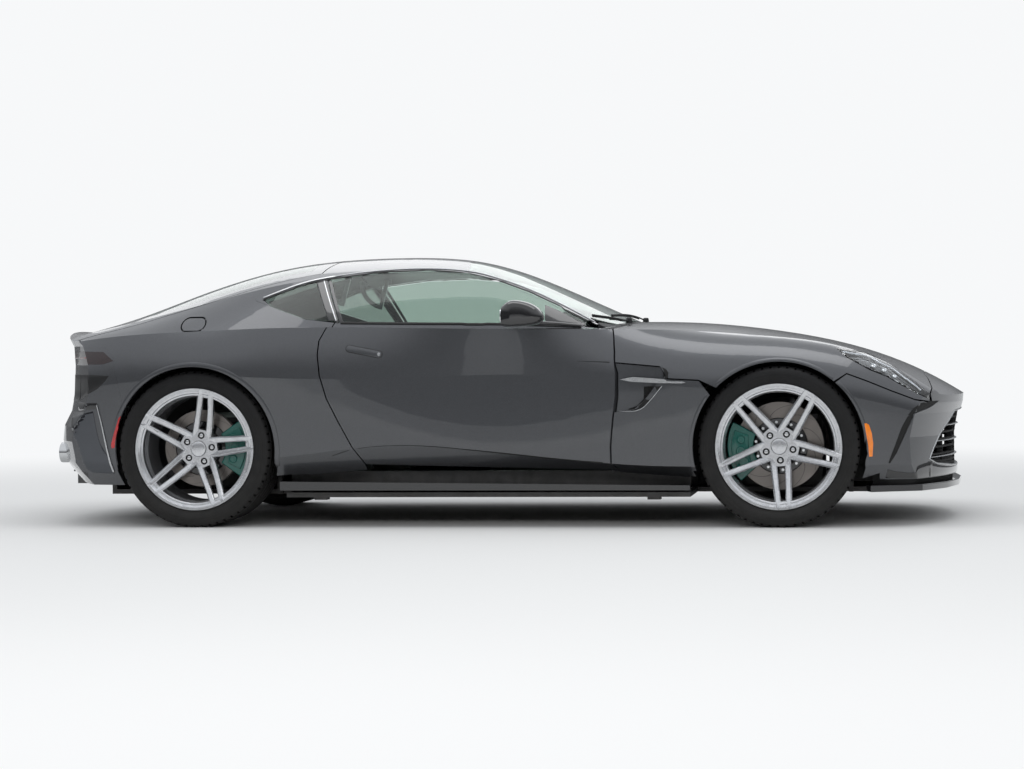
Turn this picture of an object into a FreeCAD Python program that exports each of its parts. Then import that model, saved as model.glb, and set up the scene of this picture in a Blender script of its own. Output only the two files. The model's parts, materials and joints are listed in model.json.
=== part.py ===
import FreeCAD, Part
import Sketcher
import math
import os

# Two-door front-engined GT coupe, as separate panels, glass, wheels and running gear.
# X runs to the nose, Y to the car's left, Z up; the drawn frame has X = 0 midway between
# the axles, and every node is moved by frame_shift so that X = 0 is the middle of the length.

V = FreeCAD.Vector
os.makedirs("parts", exist_ok=True)
doc = FreeCAD.newDocument("coupe")
sheet = doc.addObject("Spreadsheet::Sheet", "sizes")

SIZES = [
    ("wheelbase", 2705, "between the axles"),
    ("front_overhang", 848, "front axle to nose"),
    ("rear_overhang", 888, "rear axle to tail"),
    ("body_width", 1980, "widest, over the rear haunches"),
    ("roof_height", 1275, "ground to roof"),
    ("front_tyre_width", 275, "tyre section"),
    ("rear_tyre_width", 325, "tyre section"),
    ("front_tyre_radius", 363, "tread radius"),
    ("rear_tyre_radius", 364, "tread radius"),
    ("front_track", 1624, "between front tyre centres"),
    ("rear_track", 1604, "between rear tyre centres"),
    ("flange_radius", 284, "rim flange"),
    ("bead_radius", 268, "rim bead seat"),
    ("flange_thickness", 8, "rim flange"),
    ("well_radius", 252, "outside of the rim's drop centre"),
    ("barrel_thickness", 8, "rim barrel wall"),
    ("dish_depth", 74, "hub face behind the rim lip"),
    ("dish_thickness", 34, "spoke depth along the axle"),
    ("spoke_width", 23, "one spoke of a pair"),
    ("slot_width", 36, "gap between the spokes of a pair"),
    ("slot_inner_radius", 92, "where the gap of a pair starts"),
    ("slot_outer_radius", 222, "where the bridge of a pair starts"),
    ("bridge_width", 12, "web across a pair near the rim"),
    ("window_radius", 254, "outer end of the wheel openings"),
    ("spoke_pairs", 5, "pairs of spokes"),
    ("hub_radius", 74, "wheel hub pad"),
    ("spindle_radius", 32, "axle end inside the wheel"),
    ("running_clearance", 0.05, "radial, spindle in wheel and pin in knuckle"),
    ("lug_circle_radius", 57, "wheel nut circle"),
    ("lug_hole_radius", 8, "wheel nut hole"),
    ("front_disc_radius", 200, "brake disc"),
    ("rear_disc_radius", 180, "brake disc"),
    ("disc_thickness", 34, "brake disc"),
    ("disc_gap", 26, "hub face to the disc's outer face"),
    ("bell_radius", 92, "brake disc bell"),
    ("caliper_outer_radius", 236, "outside of the caliper"),
    ("caliper_inner_radius", 118, "inside of the caliper"),
    ("caliper_clearance", 5.5, "caliper to disc, over and beside"),
    ("kingpin_offset", 75, "front tyre centre to steering axis"),
    ("pin_radius", 13, "steering pin"),
    ("arch_radius", 384, "wheel opening at the lip"),
    ("well_clear_radius", 398, "inside of the wheel well"),
    ("liner_thickness", 6, "wheel well liner"),
    ("wall", 25, "body panel and roof wall"),
    ("sill_outer", 759.5, "centre plane to the sill beam's outer face"),
    ("door_inner", 830, "centre plane to the door's inner face"),
    ("glass_thickness", 5, "all panes"),
    ("moving_gap", 6, "between a moving panel and a fixed one"),
    ("fixed_gap", 0.3, "between fixed panels"),
    ("hinge_x", 520, "door hinge axis ahead of the wheelbase middle"),
    ("hinge_y", 860, "door hinge axis from the centre plane"),
    ("hinge_pin_radius", 7, "hinge pins of doors, bonnet and hatch"),
    ("hinge_plate", 14, "hinge brackets and arms"),
    ("hatch_edge_radius", 112, "hatch hinge axis to the roof's rear edge"),
    ("bonnet_edge_radius", 134, "bonnet hinge axis to the nose panel's edge, at the middle"),
    ("bonnet_end_radius", 70, "bonnet hinge axis to the nose panel's edge, below the headlamps"),
    ("grille_depth", 26, "grille frame and vanes, along the car"),
    ("nose_plan_radius", 1800, "curve of the nose seen from above"),
    ("tail_plan_radius", 1676, "curve of the tail seen from above"),
    ("mirror_reach", 1045, "centre plane to the mirror's outer end"),
    ("seat_width", 500, "seat over its bolsters"),
    ("seat_centre", 372, "centre plane to the seat's middle"),
    ("floor_height", 135, "ground to the underbody"),
    ("floor_thickness", 22, "floor sheet and beams"),
    ("pad_size", 60, "jacking pad, square"),
    ("pad_drop", 14, "jacking pad below the floor"),
]
for row, (alias, value, note) in enumerate(SIZES, start=1):
    sheet.set("A%d" % row, alias.replace("_", " "))
    sheet.set("B%d" % row, str(value))
    sheet.set("C%d" % row, note)
    sheet.setAlias("B%d" % row, alias)
shift_row = len(SIZES) + 1
sheet.set("A%d" % shift_row, "frame shift")
sheet.set("B%d" % shift_row, "=(rear_overhang - front_overhang) / 2")
sheet.setAlias("B%d" % shift_row, "frame_shift")
doc.recompute()


def size(name):
    return float(sheet.get(name))


WALL = size("wall")
GAP = size("moving_gap")
SEAM = size("fixed_gap")
FLOOR = size("floor_height")
SHEET = size("floor_thickness")
SILL_OUTER = size("sill_outer")
HALF_BASE = size("wheelbase") / 2
HALF_WIDTH = size("body_width") / 2
WIDE = 1200
TALL = 1500

# The section tables below are drawn at these sizes; a change on the sheet stretches them.
DRAWN_HALF_BASE = 1352.5
DRAWN_FRONT = 848.0
DRAWN_REAR = 888.0
DRAWN_HALF_WIDTH = 990.0
DRAWN_HEIGHT = 1275.0


def sx(x):
    """Length position on the car of a drawn x."""
    if x > DRAWN_HALF_BASE:
        return HALF_BASE + (x - DRAWN_HALF_BASE) * size("front_overhang") / DRAWN_FRONT
    if x < -DRAWN_HALF_BASE:
        return -HALF_BASE + (x + DRAWN_HALF_BASE) * size("rear_overhang") / DRAWN_REAR
    return x * HALF_BASE / DRAWN_HALF_BASE


def sy(y):
    return y * HALF_WIDTH / DRAWN_HALF_WIDTH


def sz(z):
    return z * size("roof_height") / DRAWN_HEIGHT


# Lower body sections: x, then half width and height of the floor edge, the sill crease,
# the widest line and the shoulder crest, and last the height of the crown at the centre.
LOWER_SECTIONS = [
    (-2320, 600, 215, 660, 330, 720, 620, 640, 850, 925),
    (-2050, 780, 195, 845, 330, 872, 640, 770, 862, 916),
    (-1750, 870, 195, 925, 300, 948, 670, 890, 893, 905),
    (-1352, 900, 200, 965, 300, 990, 700, 915, 913, 930),
    (-900, 880, 235, 940, 330, 962, 690, 915, 925, 940),
    (-300, 880, 272, 948, 372, 945, 690, 928, 916, 940),
    (400, 880, 255, 945, 310, 942, 690, 915, 903, 942),
    (800, 880, 235, 948, 280, 955, 650, 800, 897, 941),
    (1352, 890, 200, 955, 280, 974, 620, 735, 860, 889),
    (1750, 860, 195, 915, 280, 928, 570, 715, 775, 798),
    (2000, 790, 200, 830, 280, 845, 500, 680, 640, 698),
    (2260, 600, 210, 640, 290, 650, 420, 560, 480, 545),
]

# Greenhouse sections: x, half width and height of the buried base, half width and height
# of the roof rail, and the height of the roof at the centre.
ROOF_SECTIONS = [
    (760, 740, 800, 700, 862, 885),
    (525, 850, 820, 778, 917, 996),
    (344, 862, 820, 737, 1012, 1078),
    (53, 866, 820, 673, 1134, 1198),
    (-290, 868, 820, 622, 1191, 1268),
    (-531, 868, 820, 616, 1187, 1275),
    (-920, 868, 820, 600, 1150, 1257),
    (-1230, 868, 820, 580, 1090, 1204),
    (-1600, 866, 810, 575, 1000, 1086),
    (-1860, 850, 800, 590, 940, 985),
    (-2060, 780, 790, 600, 890, 915),
    (-2150, 700, 780, 560, 850, 880),
]

# Side outline of the nose and of the tail at the centre plane: x, z from the top down.
NOSE_LINE = [(2215, 700), (2200, 610), (2195, 550), (2183, 505), (2165, 400), (2165, 160)]
TAIL_LINE = [(2240, 940), (2205, 930), (2195, 912), (2165, 850), (2160, 760), (2165, 620),
             (2180, 540), (2215, 470), (2222, 400), (2205, 300), (2170, 250), (2090, 160)]


def mirrored(shape):
    return shape.mirror(V(0, 0, 0), V(0, 1, 0))


def tangent_mid(wide, crest):
    """Middle of the arc that leaves the widest point upright and ends at the crest."""
    depth = wide[0] - crest[0]
    rise = crest[1] - wide[1]
    radius = (depth * depth + rise * rise) / (2 * depth)
    half_turn = math.atan2(rise, radius - depth) / 2
    return (wide[0] - radius + radius * math.cos(half_turn), wide[1] + radius * math.sin(half_turn))


def lower_wire(section, inset):
    x, floor_y, floor_z, sill_y, sill_z, wide_y, wide_z, crest_y, crest_z, crown_z = section
    at = sx(x)

    def point(y, z):
        return V(at, y, z)

    floor = (sy(floor_y) - inset, sz(floor_z) + inset)
    sill = (sy(sill_y) - inset, sz(sill_z))
    wide = (sy(wide_y) - inset, sz(wide_z))
    crest = (sy(crest_y) - inset, sz(crest_z) - inset)
    crown = sz(crown_z) - inset
    flank = ((sill[0] + wide[0]) / 2 + 3, (sill[1] + wide[1]) / 2)
    shoulder = tangent_mid(wide, crest)
    edges = [
        Part.makeLine(point(-floor[0], floor[1]), point(*floor)),
        Part.makeLine(point(*floor), point(*sill)),
        Part.Arc(point(*sill), point(*flank), point(*wide)).toShape(),
        Part.Arc(point(*wide), point(*shoulder), point(*crest)).toShape(),
        Part.Arc(point(*crest), point(0, crown), point(-crest[0], crest[1])).toShape(),
        Part.Arc(point(-crest[0], crest[1]), point(-shoulder[0], shoulder[1]),
                 point(-wide[0], wide[1])).toShape(),
        Part.Arc(point(-wide[0], wide[1]), point(-flank[0], flank[1]),
                 point(-sill[0], sill[1])).toShape(),
        Part.makeLine(point(-sill[0], sill[1]), point(-floor[0], floor[1])),
    ]
    return Part.Wire(edges)


SIDE_GLASS_BULGE = 16


def roof_wire(section, inset):
    x, base_y, base_z, rail_y, rail_z, top_z = section
    at = sx(x)
    base = (sy(base_y) - inset, sz(base_z))
    rail = (sy(rail_y) - inset, sz(rail_z) - inset)
    top = sz(top_z) - inset
    run = math.hypot(base[0] - rail[0], rail[1] - base[1])
    middle = ((base[0] + rail[0]) / 2 + SIDE_GLASS_BULGE * (rail[1] - base[1]) / run,
              (base[1] + rail[1]) / 2 + SIDE_GLASS_BULGE * (base[0] - rail[0]) / run)
    left = [V(at, y, z) for y, z in (base, middle, rail)]
    right = [V(at, -y, z) for y, z in (base, middle, rail)]
    edges = [
        Part.makeLine(right[0], left[0]),
        Part.Arc(left[0], left[1], left[2]).toShape(),
        Part.Arc(left[2], V(at, 0, top), right[2]).toShape(),
        Part.Arc(right[2], right[1], right[0]).toShape(),
    ]
    return Part.Wire(edges)


def end_drum(line, plan_radius, sign, inset):
    """Solid turned about an upright axis, whose skin is the rounded nose or tail."""
    tip = max(x for x, z in line)
    centre = sign * (sx(sign * tip) * sign - plan_radius)
    outline = [V(centre, 0, TALL), V(sx(sign * line[0][0]) - sign * inset, 0, TALL)]
    outline += [V(sx(sign * x) - sign * inset, 0, sz(z)) for x, z in line]
    outline += [V(sx(sign * line[-1][0]) - sign * inset, 0, 0), V(centre, 0, 0)]
    face = Part.Face(Part.makePolygon(outline + [outline[0]]))
    quarter = 90 * sign
    half = face.revolve(V(centre, 0, 0), V(0, 0, 1), quarter)
    other = face.revolve(V(centre, 0, 0), V(0, 0, 1), -quarter)
    return half.fuse(other).removeSplitter(), centre


def master_body(inset):
    lower = Part.makeLoft([lower_wire(row, inset) for row in LOWER_SECTIONS], True)
    upper = Part.makeLoft([roof_wire(row, inset) for row in ROOF_SECTIONS], True)
    nose, nose_x = end_drum(NOSE_LINE, size("nose_plan_radius"), 1, inset)
    tail, tail_x = end_drum(TAIL_LINE, size("tail_plan_radius"), -1, inset)
    ahead = Part.makeBox(2000, 2 * WIDE, TALL, V(nose_x + 1, -WIDE, 0)).cut(nose)
    behind = Part.makeBox(2400, 2 * WIDE, TALL, V(tail_x - 2401, -WIDE, 0)).cut(tail)
    return lower.fuse(upper).cut([ahead, behind])


def side_prism(points, near=-WIDE, far=WIDE):
    """Solid with an outline drawn in side view, between two distances across the car."""
    corners = [V(sx(x), near, sz(z)) for x, z in points]
    face = Part.Face(Part.makePolygon(corners + [corners[0]]))
    return face.extrude(V(0, far - near, 0))


def plan_prism(half_outline, low, high):
    """Solid with an outline drawn from above on the left half and repeated on the right."""
    corners = [V(sx(x), sy(y), low) for x, y in half_outline]
    corners += [V(sx(x), -sy(y), low) for x, y in reversed(half_outline) if y > 0]
    face = Part.Face(Part.makePolygon(corners + [corners[0]]))
    return face.extrude(V(0, 0, high - low))


def across_cylinder(x, z, radius, near, far):
    return Part.makeCylinder(radius, far - near, V(x, near, z), V(0, 1, 0))


def half_space(side, inner, outer=WIDE):
    """Everything on one side of the car between two distances from the centre plane."""
    near = inner if side > 0 else -outer
    return Part.makeBox(6000, outer - inner, TALL, V(-3000, near, 0))


outer = master_body(0)
inner = master_body(WALL)
pane_inner = master_body(size("glass_thickness"))
cabin_void = inner.common(Part.makeBox(6000, 2 * size("door_inner"), TALL, V(-3000, -size("door_inner"), 0)))

front_axle = (HALF_BASE, size("front_tyre_radius"))
rear_axle = (-HALF_BASE, size("rear_tyre_radius"))
WELL_INNER = {"front": 480, "rear": 600}
STEER_ROOM = {"front": 32, "rear": 0}


def wheel_room(axle, end, radius, near, far):
    """Round space about a wheel, stretched along the car where the wheel is steered."""
    spread = STEER_ROOM[end]
    if not spread:
        return across_cylinder(axle[0], axle[1], radius, near, far)
    ends = [across_cylinder(axle[0] + shift, axle[1], radius, near, far) for shift in (-spread, spread)]
    middle = Part.makeBox(2 * spread, far - near, 2 * radius, V(axle[0] - spread, near, axle[1] - radius))
    return middle.fuse(ends)


def wheel_cutter(axle, end):
    """Wheel openings of one axle: the lip all the way out and the wider well behind it."""
    lip_reach = 925
    cut = []
    for side in (-1, 1):
        low = min(side * WELL_INNER[end], side * WIDE)
        cut.append(across_cylinder(axle[0], axle[1], size("arch_radius"), low, low + WIDE - WELL_INNER[end]))
        low = min(side * WELL_INNER[end], side * lip_reach)
        cut.append(across_cylinder(axle[0], axle[1], size("well_clear_radius"), low,
                                   low + lip_reach - WELL_INNER[end]))
    return cut


arches = wheel_cutter(front_axle, "front") + wheel_cutter(rear_axle, "rear")

# Door shut lines as reach from the hinge axis: z, ahead of the axis, behind the axis.
DOOR_SHUTS = [
    (230, 112, 1050), (288, 112, 1066), (373, 113, 1124), (490, 122, 1187), (596, 132, 1240),
    (702, 132, 1271), (798, 112, 1281), (862, 92, 1275), (915, 76, 1247), (960, 60, 1224), (1230, 60, 1252),
]


def shut_drum(column, extra, hinge_y):
    outline = [V(size("hinge_x"), hinge_y, sz(DOOR_SHUTS[-1][0]))]
    outline += [V(size("hinge_x") + row[column] + extra, hinge_y, sz(row[0])) for row in reversed(DOOR_SHUTS)]
    outline += [V(size("hinge_x"), hinge_y, sz(DOOR_SHUTS[0][0]))]
    face = Part.Face(Part.makePolygon(outline + [outline[0]]))
    return face.revolve(V(size("hinge_x"), hinge_y, 0), V(0, 0, 1), 360)


def door_region(side, extra):
    """Space swept by the door's shut faces: both turn about the hinge axis, so the gap is even."""
    hinge_y = side * size("hinge_y")
    behind = Part.makeBox(2000, 2 * WIDE, TALL, V(size("hinge_x") - 2000, -WIDE, 0))
    rear = shut_drum(2, extra, hinge_y).common(behind)
    return rear.fuse(shut_drum(1, extra, hinge_y))


door_tools = {side: door_region(side, 0) for side in (-1, 1)}
door_clear = {side: door_region(side, GAP) for side in (-1, 1)}

# Side-view outlines, x and z in the drawn frame.
DOOR_BASE = [(-900, 291), (-545, 290), (625, 259), (900, 254)]
BELT = [(-1043, 1029), (-862, 966), (-705, 947), (-293, 938), (81, 931), (452, 915), (545, 905)]
DOOR_PANEL = DOOR_BASE + [(900, 905)] + list(reversed(BELT))
BONNET_SIDE = [(300, 1150), (300, 750), (628, 750), (823, 731), (862, 676), (1000, 668), (1352, 500),
               (1658, 692), (1750, 657), (1850, 615), (1960, 572), (2060, 556), (2060, 1150)]
BUMPER_SPLIT = [(1400, 100), (1400, 500), (1658, 686), (1750, 651), (1850, 609), (1960, 566), (2045, 550),
                (2100, 620), (2400, 620), (2400, 100)]
LAMP_SIDE = [(1609, 806), (1748, 782), (1867, 722), (1955, 655), (2024, 596), (2030, 566), (1961, 600),
             (1889, 640), (1836, 672), (1759, 704), (1660, 760)]
TAIL_LAMP_SIDE = [(-1744, 779), (-1800, 822), (-1950, 826), (-2400, 826), (-2400, 768), (-1950, 764),
                  (-1800, 764)]
REAR_SPLIT = [(-1744, 791.7), (-1702, 600), (-1640, 350), (-1640, 100), (-2400, 100), (-2400, 841.7),
              (-1794, 841.7)]
HATCH_PLAN = [(-745, 514), (-1600, 596), (-1900, 660), (-2150, 720), (-2400, 740)]
HATCH_GLASS_PLAN = [(-905, 440), (-1300, 490), (-1690, 510), (-1740, 470)]
TAB_REACH = 325
SCREEN_PLAN = [(655, 0), (640, 300), (580, 600), (510, 712), (344, 687), (53, 621), (-110, 572),
               (-150, 300), (-158, 0)]
COWL_PLAN = [(690, 0), (675, 300), (620, 600), (545, 735), (505, 735)]
BONNET_REAR_PLAN = [(2400, 0), (2400, 1100), (480, 1100), (556, 745), (630, 600), (684, 300), (697, 0)]
FLAP = (-1415, 949, 58, 30)
FLAP_AXIS = V(sx(-1365), sy(-729.8), sz(945.1))
FLAP_SLOPE = V(0, 0.774, 0.633)
FLAP_NORMAL = V(0, -0.633, 0.774)


def grown(points, amount):
    """An outline moved outward by amount, for the clearance round a piece."""
    corners = [V(sx(x), 0, sz(z)) for x, z in points]
    wire = Part.makePolygon(corners + [corners[0]])
    return wire.makeOffset2D(amount, 2)


def grown_prism(points, amount, near=-WIDE, far=WIDE):
    wire = grown(points, amount)
    face = Part.Face(wire)
    face.translate(V(0, near, 0))
    return face.extrude(V(0, far - near, 0))


def biggest(shape):
    return max(shape.Solids, key=lambda solid: solid.Volume)


nodes = {}


def add(name, shape):
    """Keep one node's shape as a feature whose place follows the sheet."""
    if not shape.Placement.isIdentity():
        shape = Part.makeCompound([shape])
    feature = doc.addObject("Part::Feature", name)
    feature.Label = name
    feature.Shape = shape
    feature.setExpression("Placement.Base.x", "sizes.frame_shift")
    nodes[name] = feature


# Doors, their glass and mirrors
door_top = side_prism(DOOR_PANEL)
DOOR_HINGE_HEIGHTS = (420, 740)
BRACKET_TURN = -61
DOOR_SWING = 65
DOOR_LIP_HEIGHT = 860


def door_bracket(side, height):
    """Bracket from the firewall to the hinge axis, with a pin that stands up into the door."""
    plate = size("hinge_plate")
    arm = Part.makeBox(166, 22, plate, V(0, -11, 0))
    arm.rotate(V(0, 0, 0), V(0, 0, 1), BRACKET_TURN)
    arm.translate(V(size("hinge_x"), size("hinge_y"), height))
    boss = Part.makeCylinder(14, plate, V(size("hinge_x"), size("hinge_y"), height))
    pin = Part.makeCylinder(size("hinge_pin_radius"), plate + 26, V(size("hinge_x"), size("hinge_y"), height))
    foot = Part.makeBox(58, 46, plate, V(590, 700, height))
    bracket = arm.fuse([boss, pin, foot])
    return bracket if side > 0 else mirrored(bracket)


def hinge_pocket(height):
    """Room in the left door for a bracket over the whole swing, and its pin's hole."""
    plate = size("hinge_plate")
    low = height - 6
    deep = plate + 12
    round_boss = Part.makeCylinder(21, deep, V(0, 0, 0))
    sweep = Part.makeCylinder(200, deep, V(0, 0, 0), V(0, 0, 1), DOOR_SWING + 28)
    sweep.rotate(V(0, 0, 0), V(0, 0, 1), BRACKET_TURN - 14)
    path = Part.makeBox(200, 34, deep, V(0, -17, 0))
    path.rotate(V(0, 0, 0), V(0, 0, 1), BRACKET_TURN)
    last = Part.makeBox(200, 34, deep, V(0, -17, 0))
    last.rotate(V(0, 0, 0), V(0, 0, 1), BRACKET_TURN + DOOR_SWING)
    room = round_boss.fuse([sweep, path, last])
    room.translate(V(size("hinge_x"), size("hinge_y"), low))
    hole = Part.makeCylinder(size("hinge_pin_radius") + size("running_clearance"), 50,
                             V(size("hinge_x"), size("hinge_y"), height))
    return room.fuse(hole)


def door_panel(side):
    low = Part.makeBox(4000, 2 * WIDE, DOOR_LIP_HEIGHT, V(-2000, -WIDE, 0))
    below_lip = half_space(side, 0, size("door_inner")).common(low)
    slab = outer.common(half_space(side, 690)).common(door_top).common(door_tools[side])
    pockets = [hinge_pocket(height) for height in DOOR_HINGE_HEIGHTS]
    return biggest(slab.cut([cabin_void, below_lip] + pockets))


DOOR_GLASS_OUTLINE = [(-689, 900), (-689, 949), (-783, 1149), (-531, 1179), (-290, 1185), (-94, 1166), (53, 1128),
                      (199, 1074), (344, 1006), (470, 942), (470, 900)]


def pane(points, side, skin_outer, skin_inner):
    prism = side_prism(points).common(half_space(side, 300))
    return skin_outer.common(prism).cut(skin_inner)


def door_glass(side):
    sheet_solid = pane(DOOR_GLASS_OUTLINE, side, outer, pane_inner)
    above = side_prism([(x, z + SEAM) for x, z in reversed(BELT)] + [(-1043, 1300), (545, 1300)])
    return biggest(sheet_solid.common(above))


def mirror_housing(side):
    """Mirror head on a flat arm that leaves the door's belt behind the screen pillar."""
    reach = size("mirror_reach")
    head = Part.makeLoft([
        ellipse_wire(225, y, 985, length, height)
        for y, length, height in ((reach - 190, 62, 40), (reach - 120, 100, 54), (reach - 40, 104, 54),
                                  (reach, 70, 34))
    ], True)
    arm = Part.makeBox(130, reach - 130 - 850, 14, V(250, 850, 898))
    arm.rotate(V(315, 850, 898), V(1, 0, 0), 24)
    head = head.fuse(arm)
    return head if side > 0 else mirrored(head)


def ellipse_wire(x, y, z, half_length, half_height):
    curve = Part.Ellipse(V(x, y, z), half_length, half_height)
    edge = curve.toShape()
    edge.rotate(V(x, y, z), V(1, 0, 0), 90)
    return Part.Wire([edge])


door_parts = {"door": door_panel(1), "door_glass": door_glass(1), "mirror": mirror_housing(1).cut(outer)}
for name, shape in door_parts.items():
    add(name + "_left", shape)
    add(name + "_right", mirrored(shape))

# Clamshell bonnet, with the front wings' tops and the headlamps
BONNET_AXIS = (sx(2100), sz(580))
HATCH_AXIS = (sx(-720), sz(1174))
BONNET_HINGE_Y = 330
HATCH_HINGE_Y = 430
PLATE = size("hinge_plate")
PIN = size("hinge_pin_radius")


def nose_drum(extra):
    """Space round the bonnet's hinge axis that belongs to the nose panel, narrower at both ends."""
    centre, ends = size("bonnet_edge_radius"), size("bonnet_end_radius")
    profile = [(-WIDE, ends), (-650, ends), (-300, centre), (300, centre), (650, ends), (WIDE, ends)]
    corners = [V(BONNET_AXIS[0], -WIDE, BONNET_AXIS[1])]
    corners += [V(BONNET_AXIS[0] + reach + extra, y, BONNET_AXIS[1]) for y, reach in profile]
    corners += [V(BONNET_AXIS[0], WIDE, BONNET_AXIS[1])]
    face = Part.Face(Part.makePolygon(corners + [corners[0]]))
    return face.revolve(corners[0], V(0, 1, 0), 360)


def swing_arm(axis, edge_radius, leg_angle, end_angle, near):
    """Hinge arm: a leg from the pin out past the shut edge, then a bow round to the panel."""
    inside = edge_radius + 2 * GAP
    outside = inside + 22
    steps = 8
    turns = [math.radians(leg_angle + (end_angle - leg_angle) * step / steps) for step in range(steps + 1)]
    rim_points = [(outside, turn) for turn in turns] + [(inside, turn) for turn in reversed(turns)]
    corners = [V(reach * math.cos(turn), 0, reach * math.sin(turn)) for reach, turn in rim_points]
    bow = Part.Face(Part.makePolygon(corners + [corners[0]])).extrude(V(0, PLATE, 0))
    leg = Part.makeBox(outside - 1, PLATE, 20, V(0, 0, -10))
    leg.rotate(V(0, 0, 0), V(0, 1, 0), -leg_angle)
    arm = bow.fuse([leg, across_cylinder(0, 0, PIN + 3, 0, PLATE)])
    arm = arm.cut(across_cylinder(0, 0, PIN + size("running_clearance"), -1, PLATE + 1))
    arm.translate(V(axis[0], near, axis[1]))
    arm = arm.common(outer)
    return [arm, mirrored(arm)]


def hinge_lugs(axis, outline, near):
    """Lug with a pin on each side, beside the moving arm."""
    lug = side_prism(outline, near + PLATE + 5, near + 2 * PLATE + 5).common(outer)
    lug = lug.fuse(across_cylinder(axis[0], axis[1], PIN, near - 3, near + PLATE + 7))
    return [lug, mirrored(lug)]


bonnet_clear = door_clear[1].fuse(door_clear[-1])
bonnet_tool = side_prism(BONNET_SIDE).common(plan_prism(BONNET_REAR_PLAN, 400, TALL)).cut(nose_drum(GAP))
lamp_cut = [grown_prism(LAMP_SIDE, SEAM, -WIDE, -600), grown_prism(LAMP_SIDE, SEAM, 600, WIDE)]
bonnet = outer.common(bonnet_tool).cut(inner)
bonnet = biggest(bonnet.cut(arches[:4] + lamp_cut + [bonnet_clear]))
add("bonnet", bonnet.fuse(swing_arm(BONNET_AXIS, size("bonnet_edge_radius"), 212, 134, BONNET_HINGE_Y)))

# Front bumper, lamps, grille and splitter
lamp_fixed_cut = [grown_prism(LAMP_SIDE, GAP, -WIDE, -600), grown_prism(LAMP_SIDE, GAP, 600, WIDE)]
MOUTH = [(0, 512), (355, 508), (520, 430), (632, 348), (684, 296), (600, 274), (340, 256), (0, 252)]


def mouth_prism(amount, start, length):
    """Grille opening seen from the front, its corners rounded, as a solid along X."""
    corners = [V(start, sy(y), sz(z)) for y, z in MOUTH]
    corners += [V(start, -sy(y), sz(z)) for y, z in reversed(MOUTH) if y > 0]
    wire = Part.makePolygon(corners + [corners[0]])
    if amount:
        wire = wire.makeOffset2D(amount, 2)
    return Part.Face(wire).extrude(V(length, 0, 0))


nose_edge = nose_drum(0)
bumper = outer.common(side_prism(BUMPER_SPLIT).fuse(nose_edge)).cut(inner)
under_nose = Part.makeBox(460, 1760, 160, V(1340, -880, 120))
low_cut = Part.makeBox(1200, 2 * WIDE, 62, V(1300, -WIDE, 150))
bumper = bumper.cut(arches[:4] + lamp_fixed_cut + [mouth_prism(0, 1900, 500), low_cut, under_nose])
LUG_OUTLINE = [(2086, 566), (2086, 594), (2150, 600), (2180, 590), (2180, 562)]
add("front_bumper", biggest(bumper).fuse(hinge_lugs(BONNET_AXIS, LUG_OUTLINE, BONNET_HINGE_Y)))


def grille_solid():
    """Cross vanes in a frame that follows the curve of the nose, set just behind its skin."""
    front = outer.copy()
    front.translate(V(-12, 0, 0))
    back = outer.copy()
    back.translate(V(-12 - size("grille_depth"), 0, 0))
    frame_ring = mouth_prism(-SEAM, 1900, 500).cut(mouth_prism(-14, 1890, 520))
    bars = [Part.makeBox(500, 1400, 8, V(1900, -700, sz(z))) for z in (276, 309, 342, 375, 408, 441, 474)]
    uprights = [Part.makeBox(500, 8, 300, V(1900, y - 4, sz(240))) for y in (-480, -240, 0, 240, 480)]
    lattice = bars[0].fuse(bars[1:] + uprights).common(mouth_prism(-8, 1890, 520))
    slab = front.common(Part.makeBox(500, 1500, 300, V(1900, -750, 230))).cut(back)
    return biggest(slab.common(frame_ring.fuse(lattice)))


add("grille", grille_solid())

splitter_plan = [(2185, 0), (2165, 300), (2105, 560), (1990, 790), (1760, 905), (1740, 840), (1880, 700),
                 (1880, 0)]
riser_plan = [(2125, 0), (2105, 300), (2045, 540), (1950, 730), (1890, 700), (1890, 0)]
splitter = plan_prism(splitter_plan, FLOOR + SHEET + SEAM, 187).fuse(plan_prism(riser_plan, 180, 212 - SEAM))
add("front_splitter", splitter)

lamps = outer.common(side_prism(LAMP_SIDE)).cut([inner, nose_drum(GAP)])
left_lamp = biggest(lamps.common(half_space(1, 601)))
add("headlamps", Part.makeCompound([left_lamp, mirrored(left_lamp)]))

# Front lower wings behind the wheels, with the side vents
VENT = [(560, 756), (628, 756), (823, 736), (854, 704), (836, 663), (809, 650), (754, 578), (708, 538),
        (626, 524), (560, 524)]
wing_side = [(500, 240), (500, 744), (628, 744), (822, 725), (856, 670), (1000, 662), (1200, 400),
             (1200, 232), (955, 225), (625, 250)]


STEERED_REACH = 890
VENT_FLOOR = [(540, 944), (620, 940), (740, 921), (800, 912), (870, 912)]


def vent_room(side):
    """Space outside the vent's floor, which starts flush with the door and sinks toward the wheel."""
    corners = [V(sx(x), side * sy(y), 0) for x, y in VENT_FLOOR]
    corners += [V(sx(VENT_FLOOR[-1][0]), side * WIDE, 0), V(sx(VENT_FLOOR[0][0]), side * WIDE, 0)]
    return Part.Face(Part.makePolygon(corners + [corners[0]])).extrude(V(0, 0, TALL))


def lower_wing(side):
    reach = 690
    wing = outer.common(side_prism(wing_side)).common(half_space(side, SILL_OUTER + SEAM))
    void = inner.common(half_space(side, 0, 905))
    wing = wing.cut(void.cut(Part.makeBox(90, 2 * WIDE, TALL, V(sx(reach - 60), -WIDE, 0))))
    pocket = side_prism(VENT).common(vent_room(side))
    wing = biggest(wing.cut([pocket, door_clear[side]] + arches[:4]))
    near, far = sorted([side * WELL_INNER["front"], side * STEERED_REACH])
    return biggest(wing.cut(wheel_room(front_axle, "front", size("well_clear_radius"), near, far)))


left_wing = lower_wing(1)
add("lower_wings", Part.makeCompound([left_wing, mirrored(left_wing)]))

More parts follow.
